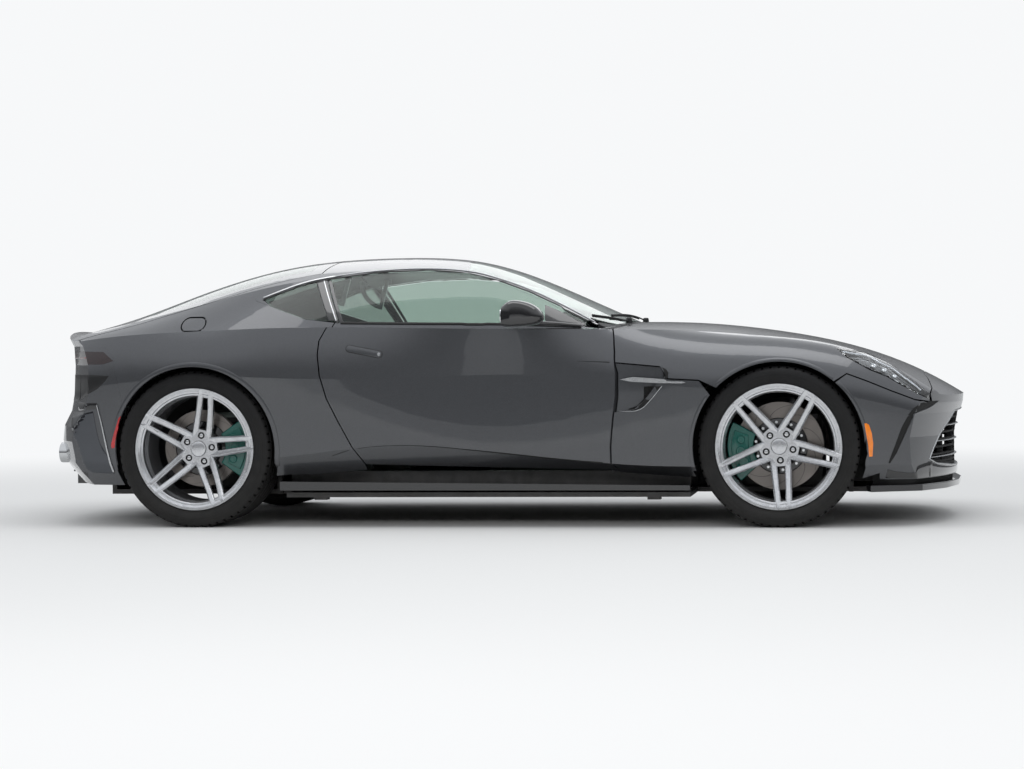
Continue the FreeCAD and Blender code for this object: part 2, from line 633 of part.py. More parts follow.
# Roof, pillars and quarters
screen_cut = plan_prism(SCREEN_PLAN, 800, TALL)
DOOR_OPENING = [(-692, 850), (-692, 948), (-788, 1155), (-531, 1185), (-290, 1191), (-94, 1172), (53, 1134), (199, 1080),
                (344, 1012), (530, 918), (640, 850)]
QUARTER_OPENING = [(-714, 953), (-811, 1149), (-920, 1127), (-1092, 1063), (-1043, 1029), (-862, 966)]
CABIN_SPLIT = -1130

above_belt = side_prism([(560, 800), (-600, 800), (-600, 946), (-862, 966), (-1043, 1029),
                         (CABIN_SPLIT, 1060), (CABIN_SPLIT, 1400), (900, 1400), (900, 800)])
door_openings = side_prism(DOOR_OPENING)
quarter_openings = side_prism(QUARTER_OPENING)
roof = outer.common(above_belt).cut(cabin_void)
bonnet_zone = plan_prism([(2400, 0), (2400, 1100), (440, 1100), (520, 740), (600, 600), (660, 300),
                          (670, 0)], 0, TALL)
HATCH_EDGE = size("hatch_edge_radius")
hatch_zone = plan_prism([(-740, 512 + GAP), (-1600, 596 + GAP), (-1900, 660 + GAP), (-2150, 720 + GAP),
                         (-2400, 740 + GAP)], 830, TALL)
hatch_zone = hatch_zone.cut(across_cylinder(HATCH_AXIS[0], HATCH_AXIS[1], HATCH_EDGE, -WIDE, WIDE))
hatch_zone = hatch_zone.cut(Part.makeBox(400, 2 * WIDE, TALL, V(HATCH_AXIS[0] - 40, -WIDE, 0)))
cowl_zone = plan_prism([(x + SEAM, y + SEAM if y else 0) for x, y in COWL_PLAN], 800, TALL)
roof = roof.cut([screen_cut, door_openings, quarter_openings, hatch_zone, bonnet_zone, cowl_zone])
ROOF_LUG = [(-702, 1160), (-738, 1160), (-738, 1260), (-702, 1260)]
add("roof_frame", biggest(roof).fuse(hinge_lugs(HATCH_AXIS, ROOF_LUG, HATCH_HINGE_Y)))

glass_edge = [(x - math.copysign(SEAM, x), max(y - SEAM, 0)) for x, y in SCREEN_PLAN]
screen_prism = plan_prism(glass_edge, 800, TALL)
add("windscreen", biggest(outer.common(screen_prism).cut(pane_inner)))

cowl = outer.common(plan_prism(COWL_PLAN, 800, TALL)).cut(inner).cut(screen_cut)
add("cowl", biggest(cowl.cut([door_clear[1], door_clear[-1]])))

quarter_pane = [(-714 - 2 * SEAM, 953.6), (-811 - SEAM, 1148.2), (-920, 1126.4), (-1091, 1062.8), (-1042.5, 1029.6),
                (-862, 966.5)]
left_pane = biggest(pane(quarter_pane, 1, outer, pane_inner))
add("quarter_glass", Part.makeCompound([left_pane, mirrored(left_pane)]))


def flap_prism(amount, near, far):
    x, z, half_long, half_high = FLAP
    radius = half_high + amount
    straight = half_long - half_high
    ends = [Part.makeCylinder(radius, far - near, V(sx(x) + shift, near, sz(z)), V(0, 1, 0))
            for shift in (-straight, straight)]
    middle = Part.makeBox(2 * straight, far - near, 2 * radius, V(sx(x) - straight, near, sz(z) - radius))
    return middle.fuse(ends)


def quarter(side):
    split = CABIN_SPLIT - SEAM
    region = side_prism([(-500, 240), (-500, 946), (-705, 946), (-862, 965.6), (-1043, 1028.6), (split, 1059),
                         (split, 1400), (-2150, 1400), (-2150, 842), (-1793.7, 842), (-1743.7, 792),
                         (-1701.7, 600), (-1639.7, 350), (-1639.7, 180), (-900, 244)])
    panel = outer.common(region).common(half_space(side, 500))
    under = half_space(side, 0, SILL_OUTER + SEAM).common(Part.makeBox(3000, 2 * WIDE, 600, V(-2400, -WIDE, 0)))
    panel = panel.cut([cabin_void, door_clear[side], hatch_zone, quarter_openings, under] + arches[4:])
    return biggest(panel.cut(grown_prism(TAIL_LAMP_SIDE, SEAM)))


POCKET_DEPTH = 19
FLAP_GAP = 7
FLAP_PIN_RADIUS = 2.5
FLAP_BARREL_RADIUS = 4.6
pocket_floor = outer.copy()
pocket_floor.translate(FLAP_NORMAL * -POCKET_DEPTH)
left_quarter = quarter(1)
flap_pocket = flap_prism(FLAP_GAP, -WIDE, -600).cut(pocket_floor)
flap_pin = Part.makeCylinder(FLAP_PIN_RADIUS, 104, FLAP_AXIS - FLAP_SLOPE * 52, FLAP_SLOPE)
right_quarter = biggest(mirrored(left_quarter).cut(flap_pocket)).fuse(flap_pin)
add("rear_quarters", Part.makeCompound([left_quarter, right_quarter]))
flap_barrel = Part.makeCylinder(FLAP_BARREL_RADIUS, 36, FLAP_AXIS - FLAP_SLOPE * 18, FLAP_SLOPE)
flap_bore = Part.makeCylinder(FLAP_PIN_RADIUS + size("running_clearance"), 120, FLAP_AXIS - FLAP_SLOPE * 60,
                              FLAP_SLOPE)
flap = biggest(outer.common(flap_prism(0, -WIDE, -600)).cut(pane_inner))
add("fuel_flap", flap.fuse(flap_barrel).cut(flap_bore))

# Hatch with its glass, rear bumper, lamps and diffuser
hatch_tool = plan_prism(HATCH_PLAN, 842, TALL)
hatch_tool = hatch_tool.cut(across_cylinder(HATCH_AXIS[0], HATCH_AXIS[1], HATCH_EDGE + GAP, -WIDE, WIDE))
hatch_shell = outer.common(hatch_tool).cut(inner)
hatch_pane_cut = plan_prism(HATCH_GLASS_PLAN, 900, TALL)
hatch_shell = biggest(hatch_shell.cut(hatch_pane_cut))
add("hatch", hatch_shell.fuse(swing_arm(HATCH_AXIS, HATCH_EDGE, 255, 165, HATCH_HINGE_Y)))
glass_plan = [(x + (SEAM if x < -1500 else -SEAM), y - SEAM) for x, y in HATCH_GLASS_PLAN]
add("hatch_glass", biggest(outer.common(plan_prism(glass_plan, 900, TALL)).cut(pane_inner)))

rear_shell = outer.common(side_prism(REAR_SPLIT)).cut(inner)
DIFFUSER_REAR = [(-1900, 150), (-1900, 250), (-2050, 300), (-2090, 395), (-2400, 395), (-2400, 150)]
under_boot = Part.makeBox(400, 1124, 130, V(-1880 - SEAM, -562, 150))
TIPS = [-600, -480, 480, 600]
TIP_HEIGHT = 338
TIP_RADIUS = 48
TIP_START = sx(-1880) - SEAM
tip_holes = [Part.makeCylinder(TIP_RADIUS + SEAM, 500, V(sx(-2350), y, TIP_HEIGHT), V(1, 0, 0)) for y in TIPS]
tab_slot = Part.makeBox(20 + 2 * SEAM, 1200, 130, V(rear_axle[0] - TAB_REACH - SEAM, -600, 150))
rear_cuts = [grown_prism(TAIL_LAMP_SIDE, SEAM), grown_prism(DIFFUSER_REAR, SEAM), under_boot, tab_slot]
rear_shell = biggest(rear_shell.cut(rear_cuts + arches[4:]))
add("rear_bumper", biggest(rear_shell.cut(tip_holes)))
lamp_band = outer.common(side_prism(TAIL_LAMP_SIDE)).cut(inner)
add("tail_lamps", biggest(lamp_band))

diffuser = outer.common(side_prism(DIFFUSER_REAR)).cut(inner)
fins = [Part.makeBox(240, 8, 90, V(sx(-2165), y - 4, 170)) for y in (-240, -80, 80, 240)]
floor_plate = plan_prism([(-1900, 0), (-1900, 560), (-2074, 560), (-2160, 0)], 245, 253)
diffuser = biggest(diffuser.cut(tip_holes)).fuse([floor_plate] + fins)
add("rear_diffuser", biggest(diffuser))


def exhaust_tip(y):
    length = 238 if abs(y) > 540 else 278
    tube = Part.makeCylinder(TIP_RADIUS, length, V(TIP_START, y, TIP_HEIGHT), V(-1, 0, 0))
    return tube.cut(Part.makeCylinder(TIP_RADIUS - 5, length, V(TIP_START - 120, y, TIP_HEIGHT), V(-1, 0, 0)))


add("exhaust_tips", Part.makeCompound([exhaust_tip(y) for y in TIPS]))

# Side skirts and bright strips
skirt_side = [(-944, 172), (955, 170), (955, 192), (-944, 213)]
skirt_solid = side_prism(skirt_side, SILL_OUTER + SEAM, 952)
add("side_skirts", Part.makeCompound([skirt_solid, mirrored(skirt_solid)]))


def strake():
    """Bright blade that crosses the side vent and tapers out on the wing ahead of it."""
    outline = [(645, 672), (700, 683), (845, 672), (858, 663), (925, 660), (940, 656), (925, 652),
               (800, 655), (690, 662)]
    blade = side_prism(outline, HALF_WIDTH - 75, HALF_WIDTH - 26)
    in_vent = side_prism([(x - SEAM, z) for x, z in VENT], 0, WIDE)
    return biggest(blade.cut(outer).fuse(blade.common(in_vent)).cut(left_wing))


left_strake = strake()
add("side_strakes", Part.makeCompound([left_strake, mirrored(left_strake)]))

# Floor, bulkheads and wheel well liners
PAD_X = 780
PAD_Y = 800


def floor_solid():
    centre = plan_prism([(1900, 0), (1900, 440), (950, 440), (950, 860), (-935, 860), (-935, 560),
                         (-1880, 560), (-1880, 0)], FLOOR, FLOOR + SHEET)
    sill = Part.makeBox(1880, 59, 250 - FLOOR, V(-935, SILL_OUTER - 59, FLOOR))
    sills = [sill, mirrored(sill)]
    tunnel = Part.makeBox(1450, 210, 330, V(-850, -105, FLOOR))
    firewall = Part.makeBox(SHEET, 1500, 690, V(640, -750, FLOOR))
    rear_wall = Part.makeBox(SHEET, 1500, 560, V(-800, -750, FLOOR))
    boot_floor = Part.makeBox(1060, 1120, SHEET, V(-1850, -560, 480))
    rear_panel = Part.makeBox(SHEET, 1120, 700 - FLOOR, V(-1880, -560, FLOOR))
    pad, drop = size("pad_size"), size("pad_drop")
    pads = [Part.makeBox(pad, pad, drop + 1, V(x - pad / 2, side * PAD_Y - pad / 2, FLOOR - drop))
            for x in (-PAD_X, PAD_X) for side in (-1, 1)]
    brackets = [door_bracket(side, height) for side in (-1, 1) for height in DOOR_HINGE_HEIGHTS]
    for axle, edge, end in ((front_axle, 430, "front"), (rear_axle, 550, "rear")):
        for reach in (-TAB_REACH, TAB_REACH - 20):
            tab = Part.makeBox(20, WELL_INNER[end] - size("liner_thickness") - SEAM - edge, 165,
                               V(axle[0] + reach, edge, FLOOR))
            brackets += [tab, mirrored(tab)]
    return centre.fuse(sills + [tunnel, firewall, rear_wall, boot_floor, rear_panel] + pads + brackets)


add("floor_pan", floor_solid())


def liner(axle, end, side):
    """Wheel well skin: a curved sheet over the tyre with a wall on its inner side."""
    clear = size("well_clear_radius")
    thick = size("liner_thickness")
    near = WELL_INNER[end]
    far = size("door_inner") - SEAM
    skin = wheel_room(axle, end, clear + thick, near - thick, far)
    skin = skin.cut(wheel_room(axle, end, clear, near, far))
    skin = skin.cut(Part.makeBox(1200, 1000, 362, V(axle[0] - 600, 0, -100)))
    hub_window = across_cylinder(axle[0], axle[1], 215, near - 50, near + 50)
    drop = Part.makeBox(430, 100, 300, V(axle[0] - 215, near - 50, axle[1] - 300))
    skin = skin.cut([hub_window, drop])
    return skin if side > 0 else mirrored(skin)


liners = [liner(axle, end, side) for axle, end in ((front_axle, "front"), (rear_axle, "rear"))
          for side in (1, -1)]
add("wheel_liners", Part.makeCompound(liners))

# Cabin fittings and engine
DASH_HALF = 704
dash_line = [(498, 800), (490, 890), (400, 912), (200, 880), (130, 800), (200, 700), (330, 640), (498, 620)]
dash_mount = Part.makeBox(640 - SEAM - 480, 1200, 130, V(480, -600, 655))
add("dashboard", side_prism(dash_line, -DASH_HALF, DASH_HALF).fuse(dash_mount))


def seat(side):
    """Bucket seat: cushion, reclined back with a headrest, raised at both sides."""
    half = size("seat_width") / 2
    middle = size("seat_centre")
    cushion = side_prism([(-470, 240), (-470, 330), (-40, 400), (20, 360), (0, 240)], middle - half, middle + half)
    rest = side_prism([(-560, 300), (-420, 300), (-560, 800), (-610, 960), (-690, 950), (-670, 780)],
                      middle - half, middle + half)
    trough = side_prism([(-400, 345), (-340, 362), (-40, 420), (40, 500), (-400, 900), (-560, 1000), (-520, 800)],
                        middle - half + 75, middle + half - 75)
    bucket = cushion.fuse(rest)
    shoulders = side_prism([(-800, 800), (-400, 800), (-400, 1100), (-800, 1100)], middle - half - 10, middle - 130)
    other = side_prism([(-800, 800), (-400, 800), (-400, 1100), (-800, 1100)], middle + 130, middle + half + 10)
    base = Part.makeBox(400, 360, 120, V(sx(-440), middle - 180, FLOOR + SHEET + SEAM))
    bucket = biggest(bucket.cut([trough, shoulders, other]).fuse(base))
    return bucket if side > 0 else mirrored(bucket)


add("seats", Part.makeCompound([seat(1), seat(-1)]))


def steering_wheel():
    ring = Part.makeTorus(178, 14)
    hub = Part.makeCylinder(45, 40, V(0, 0, -30))
    spokes = [Part.makeBox(170, 34, 14, V(0, -17, -10)), Part.makeBox(170, 34, 14, V(-170, -17, -10)),
              Part.makeBox(34, 170, 14, V(-17, -170, -10))]
    column = Part.makeCylinder(24, 250, V(0, 0, -270))
    wheel = ring.fuse([hub, column] + spokes)
    wheel.rotate(V(0, 0, 0), V(0, 0, 1), 90)
    wheel.rotate(V(0, 0, 0), V(0, 1, 0), -68)
    wheel.translate(V(25, size("seat_centre"), 770))
    return wheel


add("steering_wheel", steering_wheel().cut(side_prism(dash_line)))

engine = doc.addObject("Part::Box", "engine_block")
engine.Label = "engine_block"
ENGINE = [("Length", "620"), ("Width", "620"), ("Height", "560")]
for prop, value in ENGINE:
    engine.setExpression(prop, value)
engine.setExpression("Placement.Base.x", "760 + sizes.frame_shift")
engine.setExpression("Placement.Base.y", "-310")
engine.setExpression("Placement.Base.z", "sizes.floor_height + sizes.floor_thickness + sizes.fixed_gap")
nodes["engine_block"] = engine


# Wheels, tyres and brake discs, drawn about their own axle with the outer side at +Y
def plane_of(body, role):
    return [item for item in body.Origin.OriginFeatures if item.Role == role][0]


def sketch_on(body, name, role):
    sketch = body.newObject("Sketcher::SketchObject", name)
    sketch.AttachmentSupport = [(plane_of(body, role), "")]
    sketch.MapMode = "FlatFace"
    return sketch


def bind(sketch, constraint, expression):
    index = sketch.addConstraint(constraint)
    sketch.setExpression("Constraints[%d]" % index, expression)


def value_of(expression):
    """Plain number of a sheet expression, for a sketch's first drawing."""
    probe = doc.getObject("probe") or doc.addObject("App::FeaturePython", "probe")
    if "reading" not in probe.PropertiesList:
        probe.addProperty("App::PropertyFloat", "reading")
    probe.setExpression("reading", expression)
    doc.recompute([probe])
    return probe.reading


def closed_outline(sketch, corners):
    """Straight outline through corners given as pairs of sheet expressions."""
    places = [V(value_of(u), value_of(w), 0) for u, w in corners]
    count = len(places)
    for index in range(count):
        sketch.addGeometry(Part.LineSegment(places[index], places[(index + 1) % count]), False)
    for index in range(count):
        sketch.addConstraint(Sketcher.Constraint("Coincident", index, 2, (index + 1) % count, 1))
    for index, (u, w) in enumerate(corners):
        bind(sketch, Sketcher.Constraint("DistanceX", -1, 1, index, 1, places[index].x), u)
        bind(sketch, Sketcher.Constraint("DistanceY", -1, 1, index, 1, places[index].y), w)


def turned(body, name, corners, kind="PartDesign::Revolution"):
    sketch = sketch_on(body, name + "_outline", "YZ_Plane")
    closed_outline(sketch, corners)
    feature = body.newObject(kind, name)
    feature.Profile = sketch
    feature.ReferenceAxis = (sketch, ["H_Axis"])
    feature.Angle = 360
    return feature


def spread_round(body, name, features, count):
    pattern = body.newObject("PartDesign::PolarPattern", name)
    pattern.Originals = features
    pattern.Axis = (plane_of(body, "Y_Axis"), [""])
    pattern.Angle = 360
    pattern.Occurrences = count
    body.Tip = pattern
    return pattern


def place_wheel_part(body, x, y, z, side, turn):
    body.setExpression("Placement.Base.x", x)
    body.setExpression("Placement.Base.y", y)
    body.setExpression("Placement.Base.z", z)
    spin = FreeCAD.Rotation(V(0, 1, 0), turn)
    face = FreeCAD.Rotation(V(0, 0, 1), 0 if side > 0 else 180)
    body.Placement = FreeCAD.Placement(body.Placement.Base, face.multiply(spin))


def pocket_through(body, name, sketch):
    pocket = body.newObject("PartDesign::Pocket", name)
    pocket.Profile = sketch
    pocket.Type = "ThroughAll"
    pocket.Midplane = True
    return pocket


def rim_body(name, width):
    """Five pairs of spokes cut from a turned dish, inside a turned barrel."""
    body = doc.addObject("PartDesign::Body", name)
    lip = "(sizes.%s - 25) / 2" % width
    turned(body, name + "_dish", [
        (lip + " - sizes.dish_depth", "0"),
        (lip + " - sizes.dish_depth - 2", "52"),
        (lip + " - sizes.dish_depth + 12", "120"),
        (lip + " - sizes.dish_depth + 36", "190"),
        (lip + " - sizes.dish_depth + 58", "236"),
        (lip + " - 6", "sizes.bead_radius - 3"),
        (lip + " - sizes.dish_thickness - 6", "sizes.bead_radius - 6"),
        (lip + " - sizes.dish_depth - sizes.dish_thickness + 34", "200"),
        (lip + " - sizes.dish_depth - sizes.dish_thickness + 6", "120"),
        (lip + " - sizes.dish_depth - sizes.dish_thickness", "sizes.hub_radius"),
        (lip + " - sizes.dish_depth - sizes.dish_thickness", "0"),
    ])
    half_pair = "(sizes.slot_width / 2 + sizes.spoke_width)"
    turn = 180.0 / size("spoke_pairs")
    half_turn = "180 / sizes.spoke_pairs"
    sketch = sketch_on(body, name + "_window_outline", "XZ_Plane")
    apex = value_of(half_pair) / math.sin(math.radians(turn))
    radius = size("window_radius")
    reach = math.radians(turn) - math.asin(value_of(half_pair) / radius)
    end = V(radius * math.cos(reach), radius * math.sin(reach), 0)
    low = V(end.x, -end.y, 0)
    sketch.addGeometry(Part.LineSegment(V(apex, 0, 0), end), False)
    sketch.addGeometry(Part.LineSegment(low, V(apex, 0, 0)), False)
    sketch.addGeometry(Part.ArcOfCircle(Part.Circle(V(0, 0, 0), V(0, 0, 1), radius), -reach, reach), False)
    sketch.addConstraint(Sketcher.Constraint("Coincident", 0, 1, 1, 2))
    sketch.addConstraint(Sketcher.Constraint("Coincident", 0, 2, 2, 2))
    sketch.addConstraint(Sketcher.Constraint("Coincident", 1, 1, 2, 1))
    sketch.addConstraint(Sketcher.Constraint("Coincident", 2, 3, -1, 1))
    bind(sketch, Sketcher.Constraint("Radius", 2, radius), "sizes.window_radius")
    bind(sketch, Sketcher.Constraint("DistanceX", -1, 1, 0, 1, apex), "%s / sin(%s)" % (half_pair, half_turn))
    sketch.addConstraint(Sketcher.Constraint("PointOnObject", 0, 1, -1))
    sketch.addConstraint(Sketcher.Constraint("Symmetric", 2, 1, 2, 2, -1))
    bind(sketch, Sketcher.Constraint("Angle", -1, 1, 0, 1, math.radians(turn)), half_turn)
    window = pocket_through(body, name + "_window", sketch)
    spread_round(body, name + "_windows", [window], int(size("spoke_pairs")))
    for part, start, stop in (("slot", "sizes.slot_inner_radius", "sizes.slot_outer_radius"),
                              ("notch", "sizes.slot_outer_radius + sizes.bridge_width", "sizes.window_radius - 4")):
        slot = sketch_on(body, "%s_%s_outline" % (name, part), "XZ_Plane")
        closed_outline(slot, [
            ("-(%s)" % start, "-sizes.slot_width / 2"), ("-(%s)" % start, "sizes.slot_width / 2"),
            ("-(%s)" % stop, "sizes.slot_width / 2"), ("-(%s)" % stop, "-sizes.slot_width / 2")])
        cut = pocket_through(body, "%s_%s" % (name, part), slot)
        spread_round(body, "%s_%ss" % (name, part), [cut], int(size("spoke_pairs")))
    wall = "sizes.barrel_thickness"
    turned(body, name + "_barrel", [
        (lip, "sizes.flange_radius"), (lip + " - sizes.flange_thickness", "sizes.flange_radius"),
        (lip + " - 9", "sizes.bead_radius"), (lip + " - 45", "sizes.bead_radius - 2"),
        (lip + " - 70", "sizes.well_radius"), ("-(%s) + 60" % lip, "sizes.well_radius"),
        ("-(%s) + 45" % lip, "sizes.bead_radius - 2"), ("-(%s) + 9" % lip, "sizes.bead_radius"),
        ("-(%s) + sizes.flange_thickness" % lip, "sizes.flange_radius"), ("-(%s)" % lip, "sizes.flange_radius"),
        ("-(%s)" % lip, "sizes.bead_radius - %s" % wall), ("-(%s) + 48" % lip, "sizes.bead_radius - 2 - " + wall),
        ("-(%s) + 62" % lip, "sizes.well_radius - " + wall), (lip + " - 72", "sizes.well_radius - " + wall),
        (lip + " - 48", "sizes.bead_radius - 2 - " + wall), (lip, "sizes.bead_radius - 4"),
    ])
    turned(body, name + "_bore", [
        (lip + " - sizes.dish_depth - sizes.dish_thickness - 5", "0"),
        (lip + " - sizes.dish_depth - sizes.dish_thickness - 5", "sizes.spindle_radius + sizes.running_clearance"),
        (lip + " - sizes.dish_depth - 12", "sizes.spindle_radius + sizes.running_clearance"),
        (lip + " - sizes.dish_depth - 12", "0"),
    ], "PartDesign::Groove")
    holes = sketch_on(body, name + "_nut_outline", "XZ_Plane")
    holes.addGeometry(Part.Circle(V(-size("lug_circle_radius"), 0, 0), V(0, 0, 1), size("lug_hole_radius")), False)
    bind(holes, Sketcher.Constraint("Radius", 0, size("lug_hole_radius")), "sizes.lug_hole_radius")
    bind(holes, Sketcher.Constraint("DistanceX", 0, 3, -1, 1, size("lug_circle_radius")), "sizes.lug_circle_radius")
    holes.addConstraint(Sketcher.Constraint("PointOnObject", 0, 3, -1))
    nut = pocket_through(body, name + "_nut_hole", holes)
    spread_round(body, name + "_nut_holes", [nut], int(size("spoke_pairs")))
    return body


def tyre_body(name, width, radius):
    body = doc.addObject("PartDesign::Body", name)
    half = "sizes.%s / 2" % width
    seat_width = "(sizes.%s - 25) / 2 - sizes.flange_thickness - 1.3" % width
    seat_radius = "sizes.bead_radius + 0.3"
    body.Tip = turned(body, name + "_ring", [
        (half + " - 20", "sizes." + radius), (half, "sizes.%s - 26" % radius),
        (seat_width, "sizes.flange_radius + 3"), (seat_width, seat_radius),
        ("-(%s)" % seat_width, seat_radius), ("-(%s)" % seat_width, "sizes.flange_radius + 3"),
        ("-" + half, "sizes.%s - 26" % radius), ("-%s + 20" % half, "sizes." + radius),
    ])
    return body


def disc_body(name, width, radius):
    body = doc.addObject("PartDesign::Body", name)
    face = "(sizes.%s - 25) / 2 - sizes.dish_depth - sizes.dish_thickness - sizes.fixed_gap" % width
    front = face + " - sizes.disc_gap"
    back = front + " - sizes.disc_thickness"
    turned(body, name + "_rotor", [
        (face, "sizes.spindle_radius + sizes.running_clearance"), (face, "sizes.bell_radius - 12"),
        (front, "sizes.bell_radius"), (front, "sizes." + radius), (back, "sizes." + radius),
        (back, "sizes.bell_radius + 18"), (front + " - 8", "sizes.bell_radius - 8"),
        (face + " - 8", "sizes.bell_radius - 20"), (face + " - 8", "sizes.spindle_radius + sizes.running_clearance"),
    ])
    holes = sketch_on(body, name + "_nut_outline", "XZ_Plane")
    holes.addGeometry(Part.Circle(V(-size("lug_circle_radius"), 0, 0), V(0, 0, 1), size("lug_hole_radius")), False)
    bind(holes, Sketcher.Constraint("Radius", 0, size("lug_hole_radius")), "sizes.lug_hole_radius")
    bind(holes, Sketcher.Constraint("DistanceX", 0, 3, -1, 1, size("lug_circle_radius")), "sizes.lug_circle_radius")
    holes.addConstraint(Sketcher.Constraint("PointOnObject", 0, 3, -1))
    nut = pocket_through(body, name + "_nut_hole", holes)
    spread_round(body, name + "_nut_holes", [nut], int(size("spoke_pairs")))
    return body


def hub_face(width):
    return (size(width) - 25) / 2 - size("dish_depth") - size("dish_thickness")


CALIPER_CHEEK = 20
CALIPER_BACK = 42


def caliper_solid(width, disc_radius, start_angle, span):
    """Monobloc caliper over the disc's edge, about the axle, outer side at +Y."""
    front = hub_face(width) - SEAM - size("disc_gap") + size("caliper_clearance")
    back = front - size("disc_thickness") - 2 * size("caliper_clearance")
    outer_radius = size("caliper_outer_radius")
    body = across_cylinder(0, 0, outer_radius, back - CALIPER_BACK, front + CALIPER_CHEEK)
    body = body.cut(across_cylinder(0, 0, size("caliper_inner_radius"), back - 2 * CALIPER_BACK, front + 2 * CALIPER_CHEEK))
    body = body.cut(across_cylinder(0, 0, disc_radius + size("caliper_clearance"), back, front))
    wedge = Part.makeCylinder(500, 600, V(0, -300, 0), V(0, 1, 0), span)
    wedge.rotate(V(0, 0, 0), V(0, 1, 0), start_angle)
    return body.common(wedge)


def upright_solid(width, height, caliper_side):
    """Spindle with a flanged carrier inboard of the disc, and an arm out to the caliper."""
    face = hub_face(width)
    spindle = across_cylinder(0, 0, size("spindle_radius"), face - 110, face + size("dish_thickness") - 14)
    drum = across_cylinder(0, 0, 58, face - 135, face - 46)
    web = Part.makeBox(84, 34, 2 * height, V(-42, face - 135, -height))
    arm_face = face - SEAM - size("disc_gap") - size("disc_thickness") - size("caliper_clearance") - CALIPER_BACK
    arm = Part.makeBox(178, arm_face - SEAM - face + 135, 60, V(min(0, 178 * caliper_side), face - 135, -30))
    return spindle.fuse([drum, web, arm])


def to_wheel(shape, axle, track, side):
    placed = shape.copy()
    if side < 0:
        placed = mirrored(placed)
    placed.translate(V(axle[0], side * track / 2, axle[1]))
    return placed


KINGPIN_Y = size("front_track") / 2 - size("kingpin_offset")
corner_table = [
    ("front", 1, "left", "front_tyre_width", "front_tyre_radius", "front_track", "front_disc_radius", -13.5),
    ("front", -1, "right", "front_tyre_width", "front_tyre_radius", "front_track", "front_disc_radius", -13.5),
    ("rear", 1, "left", "rear_tyre_width", "rear_tyre_radius", "rear_track", "rear_disc_radius", 5.8),
    ("rear", -1, "right", "rear_tyre_width", "rear_tyre_radius", "rear_track", "rear_disc_radius", 5.8),
]
rear_uprights = []
rear_calipers = []
for end, side, word, width, radius, track, disc_radius, turn in corner_table:
    place = ("%s sizes.wheelbase / 2 + sizes.frame_shift" % ("" if end == "front" else "-"),
             "%s sizes.%s / 2" % ("" if side > 0 else "-", track), "sizes." + radius)
    tag = "%s_%s" % (end, word)
    made = {
        "rim_" + tag: rim_body("rim_" + tag, width),
        "tyre_" + tag: tyre_body("tyre_" + tag, width, radius),
        "disc_" + tag: disc_body("disc_" + tag, width, disc_radius),
    }
    for name, body in made.items():
        body.Label = name
        place_wheel_part(body, place[0], place[1], place[2], side, turn)
        nodes[name] = body
    axle = front_axle if end == "front" else rear_axle
    if end == "front":
        knuckle = upright_solid(width, 105, -1)
        pin_hole = Part.makeCylinder(size("pin_radius") + size("running_clearance"), 500,
                                     V(0, -size("kingpin_offset"), -250))
        knuckle = to_wheel(knuckle.cut(pin_hole), axle, size(track), side)
        caliper = to_wheel(caliper_solid(width, size(disc_radius), -132, 70), axle, size(track), side)
        add("knuckle_" + word, knuckle)
        add("front_caliper_" + word, caliper)
    else:
        rear_uprights.append(to_wheel(upright_solid(width, 105, 1), axle, size(track), side))
        rear_calipers.append(to_wheel(caliper_solid(width, size(disc_radius), 55, 70), axle, size(track), side))
add("rear_uprights", Part.makeCompound(rear_uprights))
add("rear_calipers", Part.makeCompound(rear_calipers))


def wishbone(axle, z, outer_y, thickness):
    """Flat A-arm from two inner pivots to one outer end, on the left."""
    corners = [V(axle[0] - 170, 330, z), V(axle[0] - 120, 330, z), V(axle[0], outer_y - 60, z),
               V(axle[0] + 120, 330, z), V(axle[0] + 170, 330, z), V(axle[0] + 34, outer_y - 17, z),
               V(axle[0] + 9, outer_y, z), V(axle[0] - 9, outer_y, z), V(axle[0] - 34, outer_y - 17, z)]
    return Part.Face(Part.makePolygon(corners + [corners[0]])).extrude(V(0, 0, thickness))


def front_arms():
    reach = KINGPIN_Y + 24
    low = wishbone(front_axle, front_axle[1] - 105 - 32, reach, 26)
    high = wishbone(front_axle, front_axle[1] + 105 + 6, reach, 20)
    pin = Part.makeCylinder(size("pin_radius"), 262, V(front_axle[0], KINGPIN_Y, front_axle[1] - 131))
    beam = Part.makeBox(360, 36, 340, V(front_axle[0] - 180, 320, FLOOR + SHEET + SEAM))
    return low.fuse([high, pin, beam])


def rear_arms():
    reach = size("rear_track") / 2 + hub_face("rear_tyre_width") - 135 - SEAM
    low = wishbone(rear_axle, rear_axle[1] - 90, reach, 26)
    high = wishbone(rear_axle, rear_axle[1] + 70, reach, 20)
    beam = Part.makeBox(360, 36, 480 - FLOOR - SHEET - 2 * SEAM, V(rear_axle[0] - 180, 320, FLOOR + SHEET + SEAM))
    return low.fuse([high, beam])


arms = [front_arms(), mirrored(front_arms()), rear_arms(), mirrored(rear_arms())]
add("suspension_arms", Part.makeCompound(arms))

probe_object = doc.getObject("probe")
if probe_object:
    doc.removeObject("probe")
doc.recompute()
faults = []
for name, feature in nodes.items():
    shape = feature.Shape
    if shape.isNull() or not shape.isValid() or shape.Volume <= 0:
        faults.append(name)
for item in doc.Objects:
    if "Invalid" in item.State or "Error" in item.State:
        faults.append(item.Name)
if faults:
    raise RuntimeError("bad shapes: " + ", ".join(faults))
for name, feature in nodes.items():
    feature.Shape.exportStep("parts/%s.step" % name)
    box = feature.Shape.BoundBox
    print("%-20s %8.2f l  %d solids  x %.0f..%.0f y %.0f..%.0f z %.0f..%.0f" % (
        name, feature.Shape.Volume / 1e6, len(feature.Shape.Solids),
        box.XMin, box.XMax, box.YMin, box.YMax, box.ZMin, box.ZMax))
